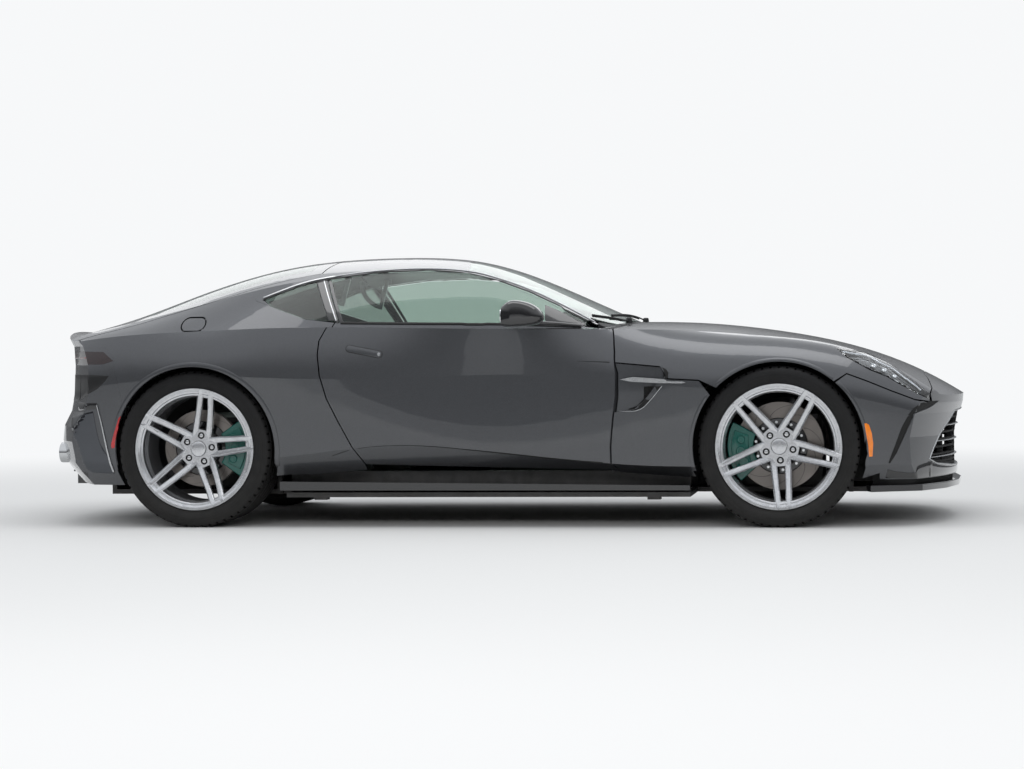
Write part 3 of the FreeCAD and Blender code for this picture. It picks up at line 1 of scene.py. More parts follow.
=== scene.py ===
import bpy
import bmesh
import json
import math
from mathutils import Matrix, Vector
from mathutils.bvhtree import BVHTree


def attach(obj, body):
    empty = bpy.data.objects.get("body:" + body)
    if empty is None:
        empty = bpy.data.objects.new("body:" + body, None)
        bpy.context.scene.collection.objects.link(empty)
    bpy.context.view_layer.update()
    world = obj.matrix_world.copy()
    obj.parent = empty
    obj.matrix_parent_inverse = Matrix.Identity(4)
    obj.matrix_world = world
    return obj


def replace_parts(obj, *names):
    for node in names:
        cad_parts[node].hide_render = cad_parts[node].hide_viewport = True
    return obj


bl_info = {
    "name": "Two-door coupe",
    "version": (1, 0, 0),
    "blender": (4, 5, 0),
    "location": "View3D > Sidebar > Coupe",
    "description": "Finishes a two-door coupe: paint, glass, wheels, lamps, trim and cabin",
    "category": "Object",
}

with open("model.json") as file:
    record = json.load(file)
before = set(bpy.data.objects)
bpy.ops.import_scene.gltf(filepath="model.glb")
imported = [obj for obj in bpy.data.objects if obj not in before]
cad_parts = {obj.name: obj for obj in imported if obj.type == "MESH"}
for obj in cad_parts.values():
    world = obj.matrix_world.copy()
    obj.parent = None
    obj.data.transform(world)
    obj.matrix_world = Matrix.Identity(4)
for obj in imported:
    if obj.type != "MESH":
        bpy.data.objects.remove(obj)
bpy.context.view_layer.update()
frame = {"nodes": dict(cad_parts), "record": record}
NODES = frame["nodes"]
SHIFT = 0.020
FRONT_AXLE = Vector((1.3525 + SHIFT, 0.812, 0.363))
REAR_AXLE = Vector((-1.3525 + SHIFT, 0.802, 0.364))
WHEELS = {
    "front_left": (FRONT_AXLE, 1, 0.275, 0.363),
    "front_right": (FRONT_AXLE, -1, 0.275, 0.363),
    "rear_left": (REAR_AXLE, 1, 0.325, 0.364),
    "rear_right": (REAR_AXLE, -1, 0.325, 0.364),
}
RIM_INSET = 0.025  # tyre width over rim width
HUB_DEPTH = 0.074  # hub face behind the rim's lip
HUB_THICKNESS = 0.034
PAINTED = ["bonnet", "front_bumper", "lower_wings", "roof_frame", "rear_quarters", "hatch", "rear_bumper",
           "door_left", "door_right", "fuel_flap"]


def shade(name, description, default):
    return bpy.props.FloatVectorProperty(name=name, description=description, subtype="COLOR", size=3, min=0, max=1,
                                         default=default)


def length(name, description, default, low, high):
    return bpy.props.FloatProperty(name=name, description=description, default=default, min=low, max=high,
                                   unit="LENGTH")


class CoupeSettings(bpy.types.PropertyGroup):
    """Finishes and small sizes that a user would change."""

    paint_color: shade("Paint", "Metallic body paint", (0.082, 0.085, 0.092))
    wheel_color: shade("Wheels", "Silver paint of the wheels", (0.62, 0.63, 0.65))
    caliper_color: shade("Calipers", "Enamel of the brake calipers", (0.0, 0.092, 0.072))
    hide_color: shade("Hide", "Leather of the seats", (0.022, 0.021, 0.021))
    trim_width: length("Trim width", "Bright strip over the side glass", 0.013, 0.004, 0.04)
    tread_depth: length("Tread depth", "Depth of the tyre grooves", 0.007, 0.001, 0.012)
    vane_depth: length("Vane depth", "Depth of the grille vanes", 0.022, 0.005, 0.05)
    seat_centre: length("Seat centre", "From the centre plane to the seat's middle", 0.372, 0.3, 0.45)
    pad_rise: length("Pad rise", "Most that a seat pad swells between its seams", 0.010, 0.002, 0.02)


def settings():
    return bpy.context.scene.coupe_settings


# Node groups and materials

def wire(tree, rows, links, known=None):
    """Adds shader nodes from rows of (name, kind, attributes, inputs) and links (node, output, node, input)."""
    made = dict(known or {})
    for name, kind, attributes, inputs in rows:
        made[name] = tree.nodes.new("ShaderNode" + kind)
        for key, value in attributes.items():
            setattr(made[name], key, value)
        for socket, value in inputs.items():
            made[name].inputs[socket].default_value = value
    for start, output, stop, socket in links:
        tree.links.new(made[start].outputs[output], made[stop].inputs[socket])
    return made


# Shared effects: (inputs beside the vector, outputs, nodes, links)
GROUPS = {
    # Fine surface grain: a height and a tone that vary with two sizes of noise
    "surface_grain": (
        {"Scale": 300.0, "Contrast": 0.5}, ("Height", "Tone"),
        [("fine", "TexNoise", {}, {"Detail": 4}),
         ("broad", "TexNoise", {}, {"Detail": 2}),
         ("smaller", "Math", {"operation": "MULTIPLY"}, {1: 0.05}),
         ("spread", "MapRange", {}, {"From Min": 0.3, "From Max": 0.7}),
         ("shift", "Math", {"operation": "SUBTRACT"}, {1: 0.5}),
         ("centre", "Math", {"operation": "MULTIPLY_ADD"}, {2: 1.0})],
        [("given", "Vector", "fine", "Vector"), ("given", "Vector", "broad", "Vector"),
         ("given", "Scale", "fine", "Scale"), ("given", "Scale", "smaller", 0),
         ("smaller", 0, "broad", "Scale"), ("fine", "Fac", "result", "Height"),
         ("broad", "Fac", "spread", "Value"), ("spread", "Result", "shift", 0), ("shift", 0, "centre", 0),
         ("given", "Contrast", "centre", 1), ("centre", 0, "result", "Tone")]),
    # Metal flake under the lacquer: each small cell has its own tone
    "metal_flake": (
        {"Scale": 1400.0, "Contrast": 0.4}, ("Tone",),
        [("cells", "TexVoronoi", {}, {}),
         ("split", "SeparateColor", {}, {}),
         ("shift", "Math", {"operation": "SUBTRACT"}, {1: 0.5}),
         ("centre", "Math", {"operation": "MULTIPLY_ADD"}, {2: 1.0})],
        [("given", "Vector", "cells", "Vector"), ("given", "Scale", "cells", "Scale"),
         ("cells", "Color", "split", "Color"), ("split", "Red", "shift", 0), ("shift", 0, "centre", 0),
         ("given", "Contrast", "centre", 1), ("centre", 0, "result", "Tone")]),
    # Road dust: a mask that fades upward from the ground and breaks up with noise
    "road_dust": (
        {"Top": 0.45, "Amount": 0.3}, ("Mask",),
        [("split", "SeparateXYZ", {}, {}),
         ("fade", "MapRange", {}, {"From Min": 0.1, "To Min": 1.0, "To Max": 0.0}),
         ("noise", "TexNoise", {}, {"Scale": 18, "Detail": 6}),
         ("broken", "Math", {"operation": "MULTIPLY"}, {}),
         ("scaled", "Math", {"operation": "MULTIPLY"}, {})],
        [("given", "Vector", "split", "Vector"), ("given", "Vector", "noise", "Vector"),
         ("split", "Z", "fade", "Value"), ("given", "Top", "fade", "From Max"),
         ("fade", "Result", "broken", 0), ("noise", "Fac", "broken", 1), ("broken", 0, "scaled", 0),
         ("given", "Amount", "scaled", 1), ("scaled", 0, "result", "Mask")]),
}


def make_group(name):
    """Builds a shared effect from its row in GROUPS."""
    values, outputs, rows, links = GROUPS[name]
    group = bpy.data.node_groups.new(name, "ShaderNodeTree")
    add = group.interface.new_socket
    add("Vector", in_out="INPUT", socket_type="NodeSocketVector")
    for socket, value in values.items():
        add(socket, in_out="INPUT", socket_type="NodeSocketFloat").default_value = value
    for socket in outputs:
        add(socket, in_out="OUTPUT", socket_type="NodeSocketFloat")
    wire(group, rows, links, {"given": group.nodes.new("NodeGroupInput"),
                              "result": group.nodes.new("NodeGroupOutput")})


class Finish:
    """A Principled material with object coordinates and a few shared effects."""

    def __init__(self, name, color, rough=0.4, metal=0.0, **more):
        self.material = bpy.data.materials.new(name)
        self.material.use_nodes = True
        self.material.diffuse_color = (*color, 1.0)
        self.tree = self.material.node_tree
        self.color = color
        self.known = {"shader": self.tree.nodes["Principled BSDF"],
                      "place": self.tree.nodes.new("ShaderNodeTexCoord")}
        for socket, value in {"Base_Color": (*color, 1.0), "Roughness": rough, "Metallic": metal, **more}.items():
            self.known["shader"].inputs[socket.replace("_", " ")].default_value = value

    def add(self, rows, links):
        self.known = wire(self.tree, rows, links, self.known)
        return self

    def group(self, name, **values):
        if name not in bpy.data.node_groups:
            make_group(name)
        self.add([(name, "Group", {"node_tree": bpy.data.node_groups[name]}, values)],
                 [("place", "Object", name, "Vector")])

    def toned(self, source):
        """Base colour times a tone output."""
        self.add([("tone", "VectorMath", {"operation": "SCALE"}, {0: self.color})],
                 [(source, "Tone", "tone", "Scale"), ("tone", 0, "shader", "Base Color")])

    def bumped(self, source, output, strength, distance):
        self.add([("bump", "Bump", {}, {"Strength": strength, "Distance": distance})],
                 [(source, output, "bump", "Height"), ("bump", "Normal", "shader", "Normal")])

    def grained(self, scale, contrast, strength=0.0, distance=0.0, low=None, high=None):
        """Surface grain in the tone, the bump and, between two values, the roughness."""
        self.group("surface_grain", Scale=scale, Contrast=contrast)
        if contrast:
            self.toned("surface_grain")
        if strength:
            self.bumped("surface_grain", "Height", strength, distance)
        if low is not None:
            self.add([("rough", "MapRange", {}, {"From Min": 0.3, "From Max": 0.7, "To Min": low, "To Max": high})],
                     [("surface_grain", "Height", "rough", "Value"), ("rough", "Result", "shader", "Roughness")])
        return self

    def dusted(self, top, amount):
        """Mixes road dust into the toned base colour."""
        self.group("road_dust", Top=top, Amount=amount)
        return self.add([("mix", "Mix", {"data_type": "RGBA"}, {7: (*DUST, 1.0)})],
                        [("tone", 0, "mix", 6), ("road_dust", "Mask", "mix", "Factor"),
                         ("mix", 2, "shader", "Base Color")])


DUST = (0.16, 0.15, 0.13)


def make_paint():
    made = Finish("graphite_paint", settings().paint_color[:], 0.34, 0.82, Coat_Weight=1.0, Coat_Roughness=0.025,
                  Coat_IOR=1.5)
    made.group("metal_flake", Scale=1500.0, Contrast=0.55)
    made.toned("metal_flake")
    return made.dusted(0.42, 0.12)


def make_leather():
    made = Finish("seat_hide", settings().hide_color[:], 0.5)
    made.add([("cells", "TexVoronoi", {"feature": "DISTANCE_TO_EDGE"}, {"Scale": 420})],
             [("place", "Object", "cells", "Vector")])
    made.bumped("cells", "Distance", 0.35, 0.001)
    return made.grained(60.0, 0.25)


def make_disc():
    made = Finish("disc_iron", (0.235, 0.215, 0.20), 0.36, 1.0)
    made.add([("rings", "TexNoise", {}, {"Scale": 500})], [("place", "Object", "rings", "Vector")])
    made.bumped("rings", "Fac", 0.15, 0.0003)
    return made.grained(140.0, 0.3)


def make_wheel():
    made = Finish("wheel_silver", settings().wheel_color[:], 0.22, 0.85, Coat_Weight=0.6, Coat_Roughness=0.06)
    return made.grained(1400, 0.18, 0.06, 0.0002, 0.19, 0.28).dusted(0.7, 0.05)


def make_caliper():
    made = Finish("caliper_enamel", settings().caliper_color[:], 0.24, 0.1, Coat_Weight=0.8)
    return made.grained(500, 0.15, 0.1, 0.0005, 0.2, 0.32)


CLEAR = {"Transmission_Weight": 1.0, "IOR": 1.15, "Coat_Weight": 0.6, "Coat_Roughness": 0.0}
GLASS_GRAIN = (6.0, 0.04)
# Finishes with their slot of the record, and either a maker or a material's name, colour, roughness, metal, grain,
# dust and other sockets
FINISHES = {
    "paint": ("paint", make_paint),
    "hide": ("seat", make_leather),
    "disc": ("disc", make_disc),
    "wheel": ("rim", make_wheel),
    "caliper": ("caliper", make_caliper),
    "glass": ("glass", "cabin_glass", (0.50, 0.60, 0.55), 0.0, 0.0, GLASS_GRAIN, None, CLEAR),
    "rear_glass": ("glass", "rear_glass", (0.30, 0.36, 0.33), 0.0, 0.0, GLASS_GRAIN, None, CLEAR),
    "lens": ("lamp", "lamp_lens", (0.93, 0.95, 0.97), 0.0, 0.0, GLASS_GRAIN, None, CLEAR),
    "gloss_black": ("gloss_black", "gloss_black", (0.006, 0.006, 0.007), 0.12, 0.0, (900, 0.2, 0.04, 0.0002), None,
                    {"Coat_Weight": 1.0, "Coat_Roughness": 0.02}),
    # Painted shade for the tail recess.
    "painted_recess_shade": ("gloss_black", "painted_recess_shade", (0.008, 0.008, 0.0085), 0.34, 0.0, (900, 0.25, 0.1, 0.0003)),
    "black_plastic": ("black_plastic", "grained_black", (0.014, 0.014, 0.015), 0.55, 0.0,
                      (700, 0.3, 0.5, 0.0008, 0.45, 0.65)),
    # Dark plastic of wheel wells and grille, and also painted shade at the sill crease, vent, intake and nut pockets.
    "well": ("black_plastic", "dark_well_and_painted_shade", (0.008, 0.008, 0.008), 0.8, 0.0, (260, 0.4, 0.6, 0.002)),
    "seal": ("black_plastic", "rubber_seal", (0.01, 0.01, 0.01), 0.6, 0.0, (900, 0.3, 0.3, 0.0004)),
    # Bright trim, and also a painted highlight on the side vent's lower lip.
    "bright": ("bright_trim", "satin_bright", (0.56, 0.57, 0.58), 0.26, 1.0, (800, 0.08, 0.05, 0.0002, 0.2, 0.32)),
    "smoked_chrome": ("exhaust", "smoked_chrome", (0.10, 0.105, 0.115), 0.10, 1.0,
                      (300, 0.05, 0.02, 0.0002, 0.06, 0.14)),
    "chrome": ("exhaust", "chrome", (0.62, 0.63, 0.64), 0.08, 1.0, (300, 0.05, 0.02, 0.0002, 0.05, 0.12)),
    "mirror": ("glass", "mirror_glass", (0.75, 0.76, 0.78), 0.02, 1.0, (40, 0.03)),
    "tyre": ("tyre", "tyre_rubber", (0.0065, 0.0065, 0.007), 0.6, 0.0, (420, 0.35, 0.25, 0.0006, 0.5, 0.72),
             (0.75, 0.1), {"Specular_IOR_Level": 0.3}),
    "chassis": ("chassis", "cast_alloy", (0.09, 0.09, 0.092), 0.55, 0.6, (380, 0.35, 0.5, 0.001, 0.45, 0.7),
                (0.6, 0.4)),
    "engine": ("engine", "engine_cover", (0.05, 0.05, 0.052), 0.5, 0.3, (300, 0.3, 0.4, 0.001, 0.4, 0.6)),
    "amber": ("lamp", "amber_lens", (0.85, 0.22, 0.01), 0.12, 0.0, (420, 0.25, 0.5, 0.0008), None,
              {"Coat_Weight": 1.0}),
    "led": ("lamp", "light_guide", (0.75, 0.78, 0.82), 0.3, 0.0, (300, 0.1, 0.2, 0.0005)),
    "red": ("tail_lamp", "red_lens", (0.42, 0.006, 0.008), 0.1, 0.0, (420, 0.3, 0.4, 0.0008), None,
            {"Coat_Weight": 1.0}),
    "smoked": ("tail_lamp", "smoked_lens", (0.012, 0.003, 0.0035), 0.16, 0.0, (300, 0.2, 0.1, 0.0004), None,
               {"Coat_Weight": 0.5, "Coat_Roughness": 0.05}),
}
NODE_FINISH = {
    "floor_pan": "chassis", "wheel_liners": "well", "front_splitter": "gloss_black", "grille": "well",
    "headlamps": "lens", "windscreen": "glass", "cowl": "black_plastic", "quarter_glass": "rear_glass",
    "rear_diffuser": "gloss_black", "exhaust_tips": "chrome", "tail_lamps": "smoked",
    "side_skirts": "gloss_black", "side_strakes": "bright", "dashboard": "black_plastic",
    "steering_wheel": "hide", "seats": "hide", "engine_block": "engine", "suspension_arms": "chassis",
    "rear_uprights": "chassis", "rear_calipers": "caliper", "hatch_glass": "rear_glass",
    "door_glass_left": "glass", "door_glass_right": "glass", "mirror_left": "gloss_black",
    "mirror_right": "gloss_black", "knuckle_left": "chassis", "knuckle_right": "chassis",
    "front_caliper_left": "caliper", "front_caliper_right": "caliper",
}
for corner in WHEELS:
    NODE_FINISH["rim_" + corner] = "wheel"
    NODE_FINISH["tyre_" + corner] = "tyre"
    NODE_FINISH["disc_" + corner] = "disc"
for painted in PAINTED:
    NODE_FINISH[painted] = "paint"
made_materials = {}


def plain(name, color, rough, metal, grain, dust=None, sockets=None):
    """A material with surface grain and, where given, road dust."""
    made = Finish(name, color, rough, metal, **(sockets or {})).grained(*grain)
    return made.dusted(*dust) if dust else made


def finish(name):
    if name not in made_materials:
        slot, first, *rest = FINISHES[name]
        made_materials[name] = (plain(first, *rest) if rest else first()).material
    return made_materials[name]


# Mesh helpers

def mesh_object(name, bm, finish_name, body, smooth=35.0):
    """Object from a bmesh, with its finish and the angle in degrees that stays sharp, riding on a body."""
    mesh = bpy.data.meshes.new(name)
    bm.to_mesh(mesh)
    bm.free()
    obj = bpy.data.objects.new(name, mesh)
    bpy.context.scene.collection.objects.link(obj)
    mesh.materials.append(finish(finish_name))
    mesh.polygons.foreach_set("use_smooth", [True] * len(mesh.polygons))
    mesh.set_sharp_from_angle(angle=math.radians(smooth))
    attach(obj, body)
    return obj


def lathe(profile, steps, close=False):
    """A bmesh spun about the Y axis from (y, radius) pairs."""
    bm = bmesh.new()
    verts = [bm.verts.new((radius, y, 0)) for y, radius in profile]
    edges = [bm.edges.new(pair) for pair in zip(verts, verts[1:])]
    if close:
        edges.append(bm.edges.new((verts[-1], verts[0])))
    bmesh.ops.spin(bm, geom=verts + edges, cent=(0, 0, 0), axis=(0, 1, 0), angle=math.tau, steps=steps,
                   use_merge=True, use_duplicate=False)
    bmesh.ops.remove_doubles(bm, verts=bm.verts, dist=1e-6)
    bmesh.ops.recalc_face_normals(bm, faces=bm.faces)
    return bm


def rim_lip(corner):
    """Distance of the rim's outer lip from the wheel's middle plane."""
    return (WHEELS[corner][2] - RIM_INSET) / 2


def disc_sizes(corner):
    """Rotor radius, and the bell's face and the rotor's two faces as distances from the wheel's middle plane."""
    bell = rim_lip(corner) - HUB_DEPTH - HUB_THICKNESS - 0.0003
    front = bell - 0.026
    return 0.200 if "front" in corner else 0.180, bell, front, front - 0.034


def at_brake(bm, corner, name, finish_name):
    """Moves a piece drawn beside the axle's +X side to its caliper's place and makes it an object."""
    centre, side = WHEELS[corner][:2]
    spun(bm, -187 if "front" in corner else 0)
    if side < 0:
        bmesh.ops.scale(bm, verts=bm.verts, vec=(1, -1, 1))
        bmesh.ops.recalc_face_normals(bm, faces=bm.faces)
    bmesh.ops.translate(bm, verts=bm.verts, vec=(centre.x, side * centre.y, centre.z))
    body = "knuckle_" + SIDE_WORD[side] if "front" in corner else "body"
    mesh_object("%s_%s" % (name, corner), bm, finish_name, body)


def spun(bm, degrees):
    """Turns a piece about its axle."""
    bmesh.ops.rotate(bm, verts=bm.verts, cent=(0, 0, 0), matrix=Matrix.Rotation(math.radians(degrees), 3, "Y"))


def repeated(profile, steps, reach, angles):
    """Lathed pieces at one distance from the axle, at angles in degrees."""
    whole = bmesh.new()
    for degrees in angles:
        part = lathe(profile, steps)
        angle = math.radians(degrees)
        bmesh.ops.translate(part, verts=part.verts, vec=(reach * math.cos(angle), 0, reach * math.sin(angle)))
        join(whole, part)
    return whole


def at_wheel(bm, corner):
    """Moves a piece drawn about its own axle, outer side at +Y, to a wheel's place."""
    centre, side = WHEELS[corner][:2]
    turn = Matrix.Rotation(0 if side > 0 else math.pi, 4, "Z")
    place = Matrix.Translation((centre.x, side * centre.y, centre.z))
    bmesh.ops.transform(bm, matrix=place @ turn, verts=bm.verts)


def merged_copy(node):
    """A bmesh of a frame node's shape with its doubled points joined."""
    bm = bmesh.new()
    bm.from_mesh(NODES[node].data)
    bmesh.ops.remove_doubles(bm, verts=bm.verts, dist=2e-6)
    return bm


def softened(node, width, finish_name, segments=2, corner=32.0):
    """The node's own shape with its hard edges rounded, in place of the node."""
    bm = merged_copy(node)
    bmesh.ops.dissolve_limit(bm, angle_limit=math.radians(1.5), verts=bm.verts, edges=bm.edges)
    obj = mesh_object(node + "_finished", bm, finish_name, body_of(node), 40.0)
    rounding = rounded(obj, width, corner)
    rounding.segments = segments
    rounding.use_clamp_overlap = True
    rounding.miter_outer = "MITER_ARC"
    rounding.harden_normals = True
    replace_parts(obj, node)


def rounded(obj, width, corner=30.0):
    """Rounds the edges that turn by more than an angle."""
    soft = obj.modifiers.new("edge_round", "BEVEL")
    soft.width = width
    soft.segments = 2
    soft.limit_method = "ANGLE"
    soft.angle_limit = math.radians(corner)
    return soft


def walled(obj, thickness, offset=-1.0, round_edge=0.0):
    """Gives a sheet its thickness and, where asked, soft edges."""
    wall = obj.modifiers.new("wall", "SOLIDIFY")
    wall.thickness = thickness
    wall.offset = offset
    if round_edge:
        rounded(obj, round_edge)


def ring_of(bm, spots):
    """Edges of a closed ring through the given places."""
    verts = [bm.verts.new(spot) for spot in spots]
    return [bm.edges.new(pair) for pair in zip(verts, verts[1:] + verts[:1])]


def chain_of(bm, spots):
    """Edges of an open line through the given places."""
    verts = [bm.verts.new(spot) for spot in spots]
    return [bm.edges.new(pair) for pair in zip(verts, verts[1:])]


def bridged(bm, rings, capped=False):
    """Skins neighbouring rings of edges and, where asked, closes both ends."""
    for one, two in zip(rings, rings[1:]):
        bmesh.ops.bridge_loops(bm, edges=one + two)
    if capped:
        bmesh.ops.holes_fill(bm, edges=rings[0] + rings[-1], sides=len(rings[0]))
    bmesh.ops.recalc_face_normals(bm, faces=bm.faces)


def body_of(node):
    for body, members in frame["record"]["behaviour"]["bodies"].items():
        if node in members:
            return body
    raise RuntimeError("no body holds " + node)


SIDE_WORD = {-1: "right", 1: "left"}
SIDE_SKIN = ["door_left", "door_right", "door_glass_left", "door_glass_right", "quarter_glass", "roof_frame",
             "rear_quarters", "bonnet", "front_bumper", "lower_wings", "windscreen", "headlamps", "rear_bumper",
             "tail_lamps", "hatch", "hatch_glass", "cowl", "rear_diffuser"]
skin_trees = {}
NEAR_HALF = 1.2  # a ray from the side ends before the far flank
NEAR_SPOTS = [(0, 0)] + [(reach, math.radians(angle)) for reach in (0.002, 0.005, 0.010, 0.016, 0.024)
                         for angle in (270, 0, 180, 90, 315, 225)]


def skin_tree(names):
    key = tuple(names)
    if key not in skin_trees:
        bm = bmesh.new()
        for name in names:
            bm.from_mesh(NODES[name].data)
        skin_trees[key] = BVHTree.FromBMesh(bm)
        bm.free()
    return skin_trees[key]


def met(names, start, way, lift, reach=10.0):
    """Where a ray first meets the skin, lifted along the normal that faces it, and that normal."""
    hit, normal, index, distance = skin_tree(names).ray_cast(Vector(start), Vector(way), reach)
    if hit is None:
        return None
    if normal.dot(way) > 0:
        normal = -normal
    return hit + normal * lift, normal


def found(spot, *place):
    if spot is None:
        raise RuntimeError("no skin at " + str(place))
    return spot


def on_side(x, z, side=-1, names=SIDE_SKIN, lift=0.0):
    """Point of the car's flank at a drawn x and z, or the nearest one by it, and its normal."""
    for reach, angle in NEAR_SPOTS:
        start = (x + SHIFT + reach * math.cos(angle), side * 1.3, z + reach * math.sin(angle))
        spot = met(names, start, (0, -side, 0), lift, NEAR_HALF)
        if spot:
            return spot
    return found(None, x, z)


def on_front(y, z, side, names, lift=0.0):
    """Point of the nose at a y and a z, seen from ahead, and its normal."""
    return found(met(names, (2.6, side * y, z), (-1, 0, 0), lift), y, z)


def on_rear(y, z, side, names, lift=0.0):
    """Point of the tail at a y and a z, seen from behind, and its normal."""
    return found(met(names, (-2.6, side * y, z), (1, 0, 0), lift), y, z)


def on_top(x, y, names, lift=0.0):
    """Point of the car's top at a drawn x and a y, and its normal."""
    return found(met(names, (x + SHIFT, y, 2.0), (0, 0, -1), lift), x, y)


def resampled(points, count):
    """Points at even steps along a smooth line through the given (x, z) pairs."""
    dense = []
    for index in range(len(points) - 1):
        before = Vector(points[max(index - 1, 0)])
        start, stop = Vector(points[index]), Vector(points[index + 1])
        after = Vector(points[min(index + 2, len(points) - 1)])
        for step in range(12):
            t = step / 12
            dense.append(0.5 * (2 * start + (stop - before) * t
                                + (2 * before - 5 * start + 4 * stop - after) * t * t
                                + (3 * start - before - 3 * stop + after) * t ** 3))
    dense.append(Vector(points[-1]))
    reach = [0.0]
    for one, two in zip(dense, dense[1:]):
        reach.append(reach[-1] + (two - one).length)
    result = []
    index = 0
    for step in range(count):
        want = reach[-1] * step / (count - 1)
        while index < len(reach) - 2 and reach[index + 1] < want:
            index += 1
        part = (want - reach[index]) / max(reach[index + 1] - reach[index], 1e-9)
        result.append(dense[index].lerp(dense[index + 1], min(part, 1)))
    return result


def sheet_object(name, side, bm, finish_name, bodies, thickness, offset, round_edge):
    """A thin plate on one flank, riding on that side's body."""
    body = bodies[side] if isinstance(bodies, dict) else bodies
    obj = mesh_object("%s_%s" % (name, SIDE_WORD[side]), bm, finish_name, body)
    walled(obj, thickness, offset, round_edge)


def ribbon(name, line, width, thickness, finish_name, bodies, lift=0.0, count=40, taper=(1, 1), names=SIDE_SKIN):
    """A thin strip laid along a line on both flanks, its width scaled from end to end by taper."""
    flat = resampled(line, count)
    for side in (-1, 1):
        low, high = [], []
        for index, point in enumerate(flat):
            ahead = flat[min(index + 1, count - 1)] - flat[max(index - 1, 0)]
            half = width / 2 * (taper[0] + (taper[1] - taper[0]) * index / (count - 1))
            spot, normal = on_side(point.x, point.y, side, names, lift)
            lean = Vector((-ahead.y, 0, ahead.x))
            lean = (lean - normal * lean.dot(normal)).normalized()
            low.append(spot - lean * half)
            high.append(spot + lean * half)
        bm = bmesh.new()
        bridged(bm, [chain_of(bm, low), chain_of(bm, high)])
        face_outward(bm, Vector((0, side, 0)))
        sheet_object(name, side, bm, finish_name, bodies, thickness, 0.0, thickness * 0.3)


SHEET_EDGE = 0.0006


def face_outward(bm, outward):
    """Turns an open sheet so that its faces look the given way."""
    bm.normal_update()
    if sum(face.normal.dot(outward) * face.calc_area() for face in bm.faces) < 0:
        bmesh.ops.reverse_faces(bm, faces=bm.faces)


def patch(name, upper, lower, finish_name, bodies, thickness=0.002, lift=0.001, count=40, rows=3, names=SIDE_SKIN,
          place=on_side):
    """A thin sheet on both sides of the car between two lines of points."""
    top, bottom = resampled(upper, count), resampled(lower, count)
    for side in (-1, 1):
        bm = bmesh.new()
        lines = []
        for row in range(rows):
            spots = [place(*one.lerp(two, row / (rows - 1)), side, names, lift) for one, two in zip(top, bottom)]
            lines.append(chain_of(bm, [spot for spot, normal in spots]))
        bridged(bm, lines)
        face_outward(bm, spots[0][1])
        sheet_object(name, side, bm, finish_name, bodies, thickness, -1.0, SHEET_EDGE)


def outline_patch(name, outline, finish_name, bodies, thickness=0.002, lift=0.001, names=SIDE_SKIN, sides=(-1, 1),
                  cuts=2):
    """A thin plate on the flank inside a closed outline of (x, z) points."""
    for side in sides:
        bm = bmesh.new()
        bm.faces.new([bm.verts.new((x, 0, z)) for x, z in outline])
        bmesh.ops.triangulate(bm, faces=bm.faces)
        bmesh.ops.subdivide_edges(bm, edges=bm.edges, cuts=cuts, use_grid_fill=True)
        for vert in bm.verts:
            vert.co, outward = on_side(vert.co.x, vert.co.z, side, names, lift)
        bmesh.ops.recalc_face_normals(bm, faces=bm.faces)
        face_outward(bm, outward)
        sheet_object(name, side, bm, finish_name, bodies, thickness, -1.0, SHEET_EDGE)


def shifted(line, dx, dz):
    return [(x + dx, z + dz) for x, z in line]


def facing(spot, normal):
    """Matrix that stands a piece drawn along +Y on a spot, along its normal."""
    return Matrix.Translation(spot) @ Vector((0, 1, 0)).rotation_difference(normal).to_matrix().to_4x4()


def block(bm, size, place, bevel=0.002, segments=2, turn=None):
    """Adds a rounded block to a bmesh: size and centre in metres, with an optional turn."""
    part = bmesh.new()
    bmesh.ops.create_cube(part, size=1.0)
    bmesh.ops.scale(part, verts=part.verts, vec=size)
    bmesh.ops.bevel(part, geom=part.edges, offset=bevel, affect="EDGES", segments=segments, profile=0.5,
                    material=-1)
    if turn is not None:
        bmesh.ops.transform(part, matrix=turn, verts=part.verts)
    bmesh.ops.translate(part, verts=part.verts, vec=place)
    join(bm, part)


def join(bm, part):
    """Moves everything of one bmesh into another."""
    piece = bpy.data.meshes.new("part")
    part.to_mesh(piece)
    part.free()
    bm.from_mesh(piece)
    bpy.data.meshes.remove(piece)


def swept(points, radius, closed=False, steps=10, squeeze=1.0):
    """A bar along a line of points, round or squeezed in its height."""
    bm = bmesh.new()
    points = [Vector(point) for point in points]
    count = len(points)
    rings = []
    for index, point in enumerate(points):
        before = points[index - 1] if index or closed else point
        after = points[(index + 1) % count] if index < count - 1 or closed else point
        ahead = (after - before).normalized()
        side = ahead.cross(Vector((0.13, 0.07, 1.0))).normalized()
        up = side.cross(ahead).normalized() * squeeze
        turns = [math.tau * step / steps for step in range(steps)]
        rings.append(ring_of(bm, [point + (side * math.cos(turn) + up * math.sin(turn)) * radius
                                  for turn in turns]))
    if closed:
        bridged(bm, rings + rings[:1])
    else:
        bridged(bm, rings, capped=True)
    return bm


# Operators

class COUPE_OT_panels(bpy.types.Operator):
    """Paints and glazes the body panels and finishes every plain node of the frame."""

    bl_idname = "coupe.panels"
    bl_label = "Panels"

    def execute(self, context):
        for name, node in NODES.items():
            node.data.materials.clear()
            node.data.materials.append(finish(NODE_FINISH[name]))
        return {"FINISHED"}


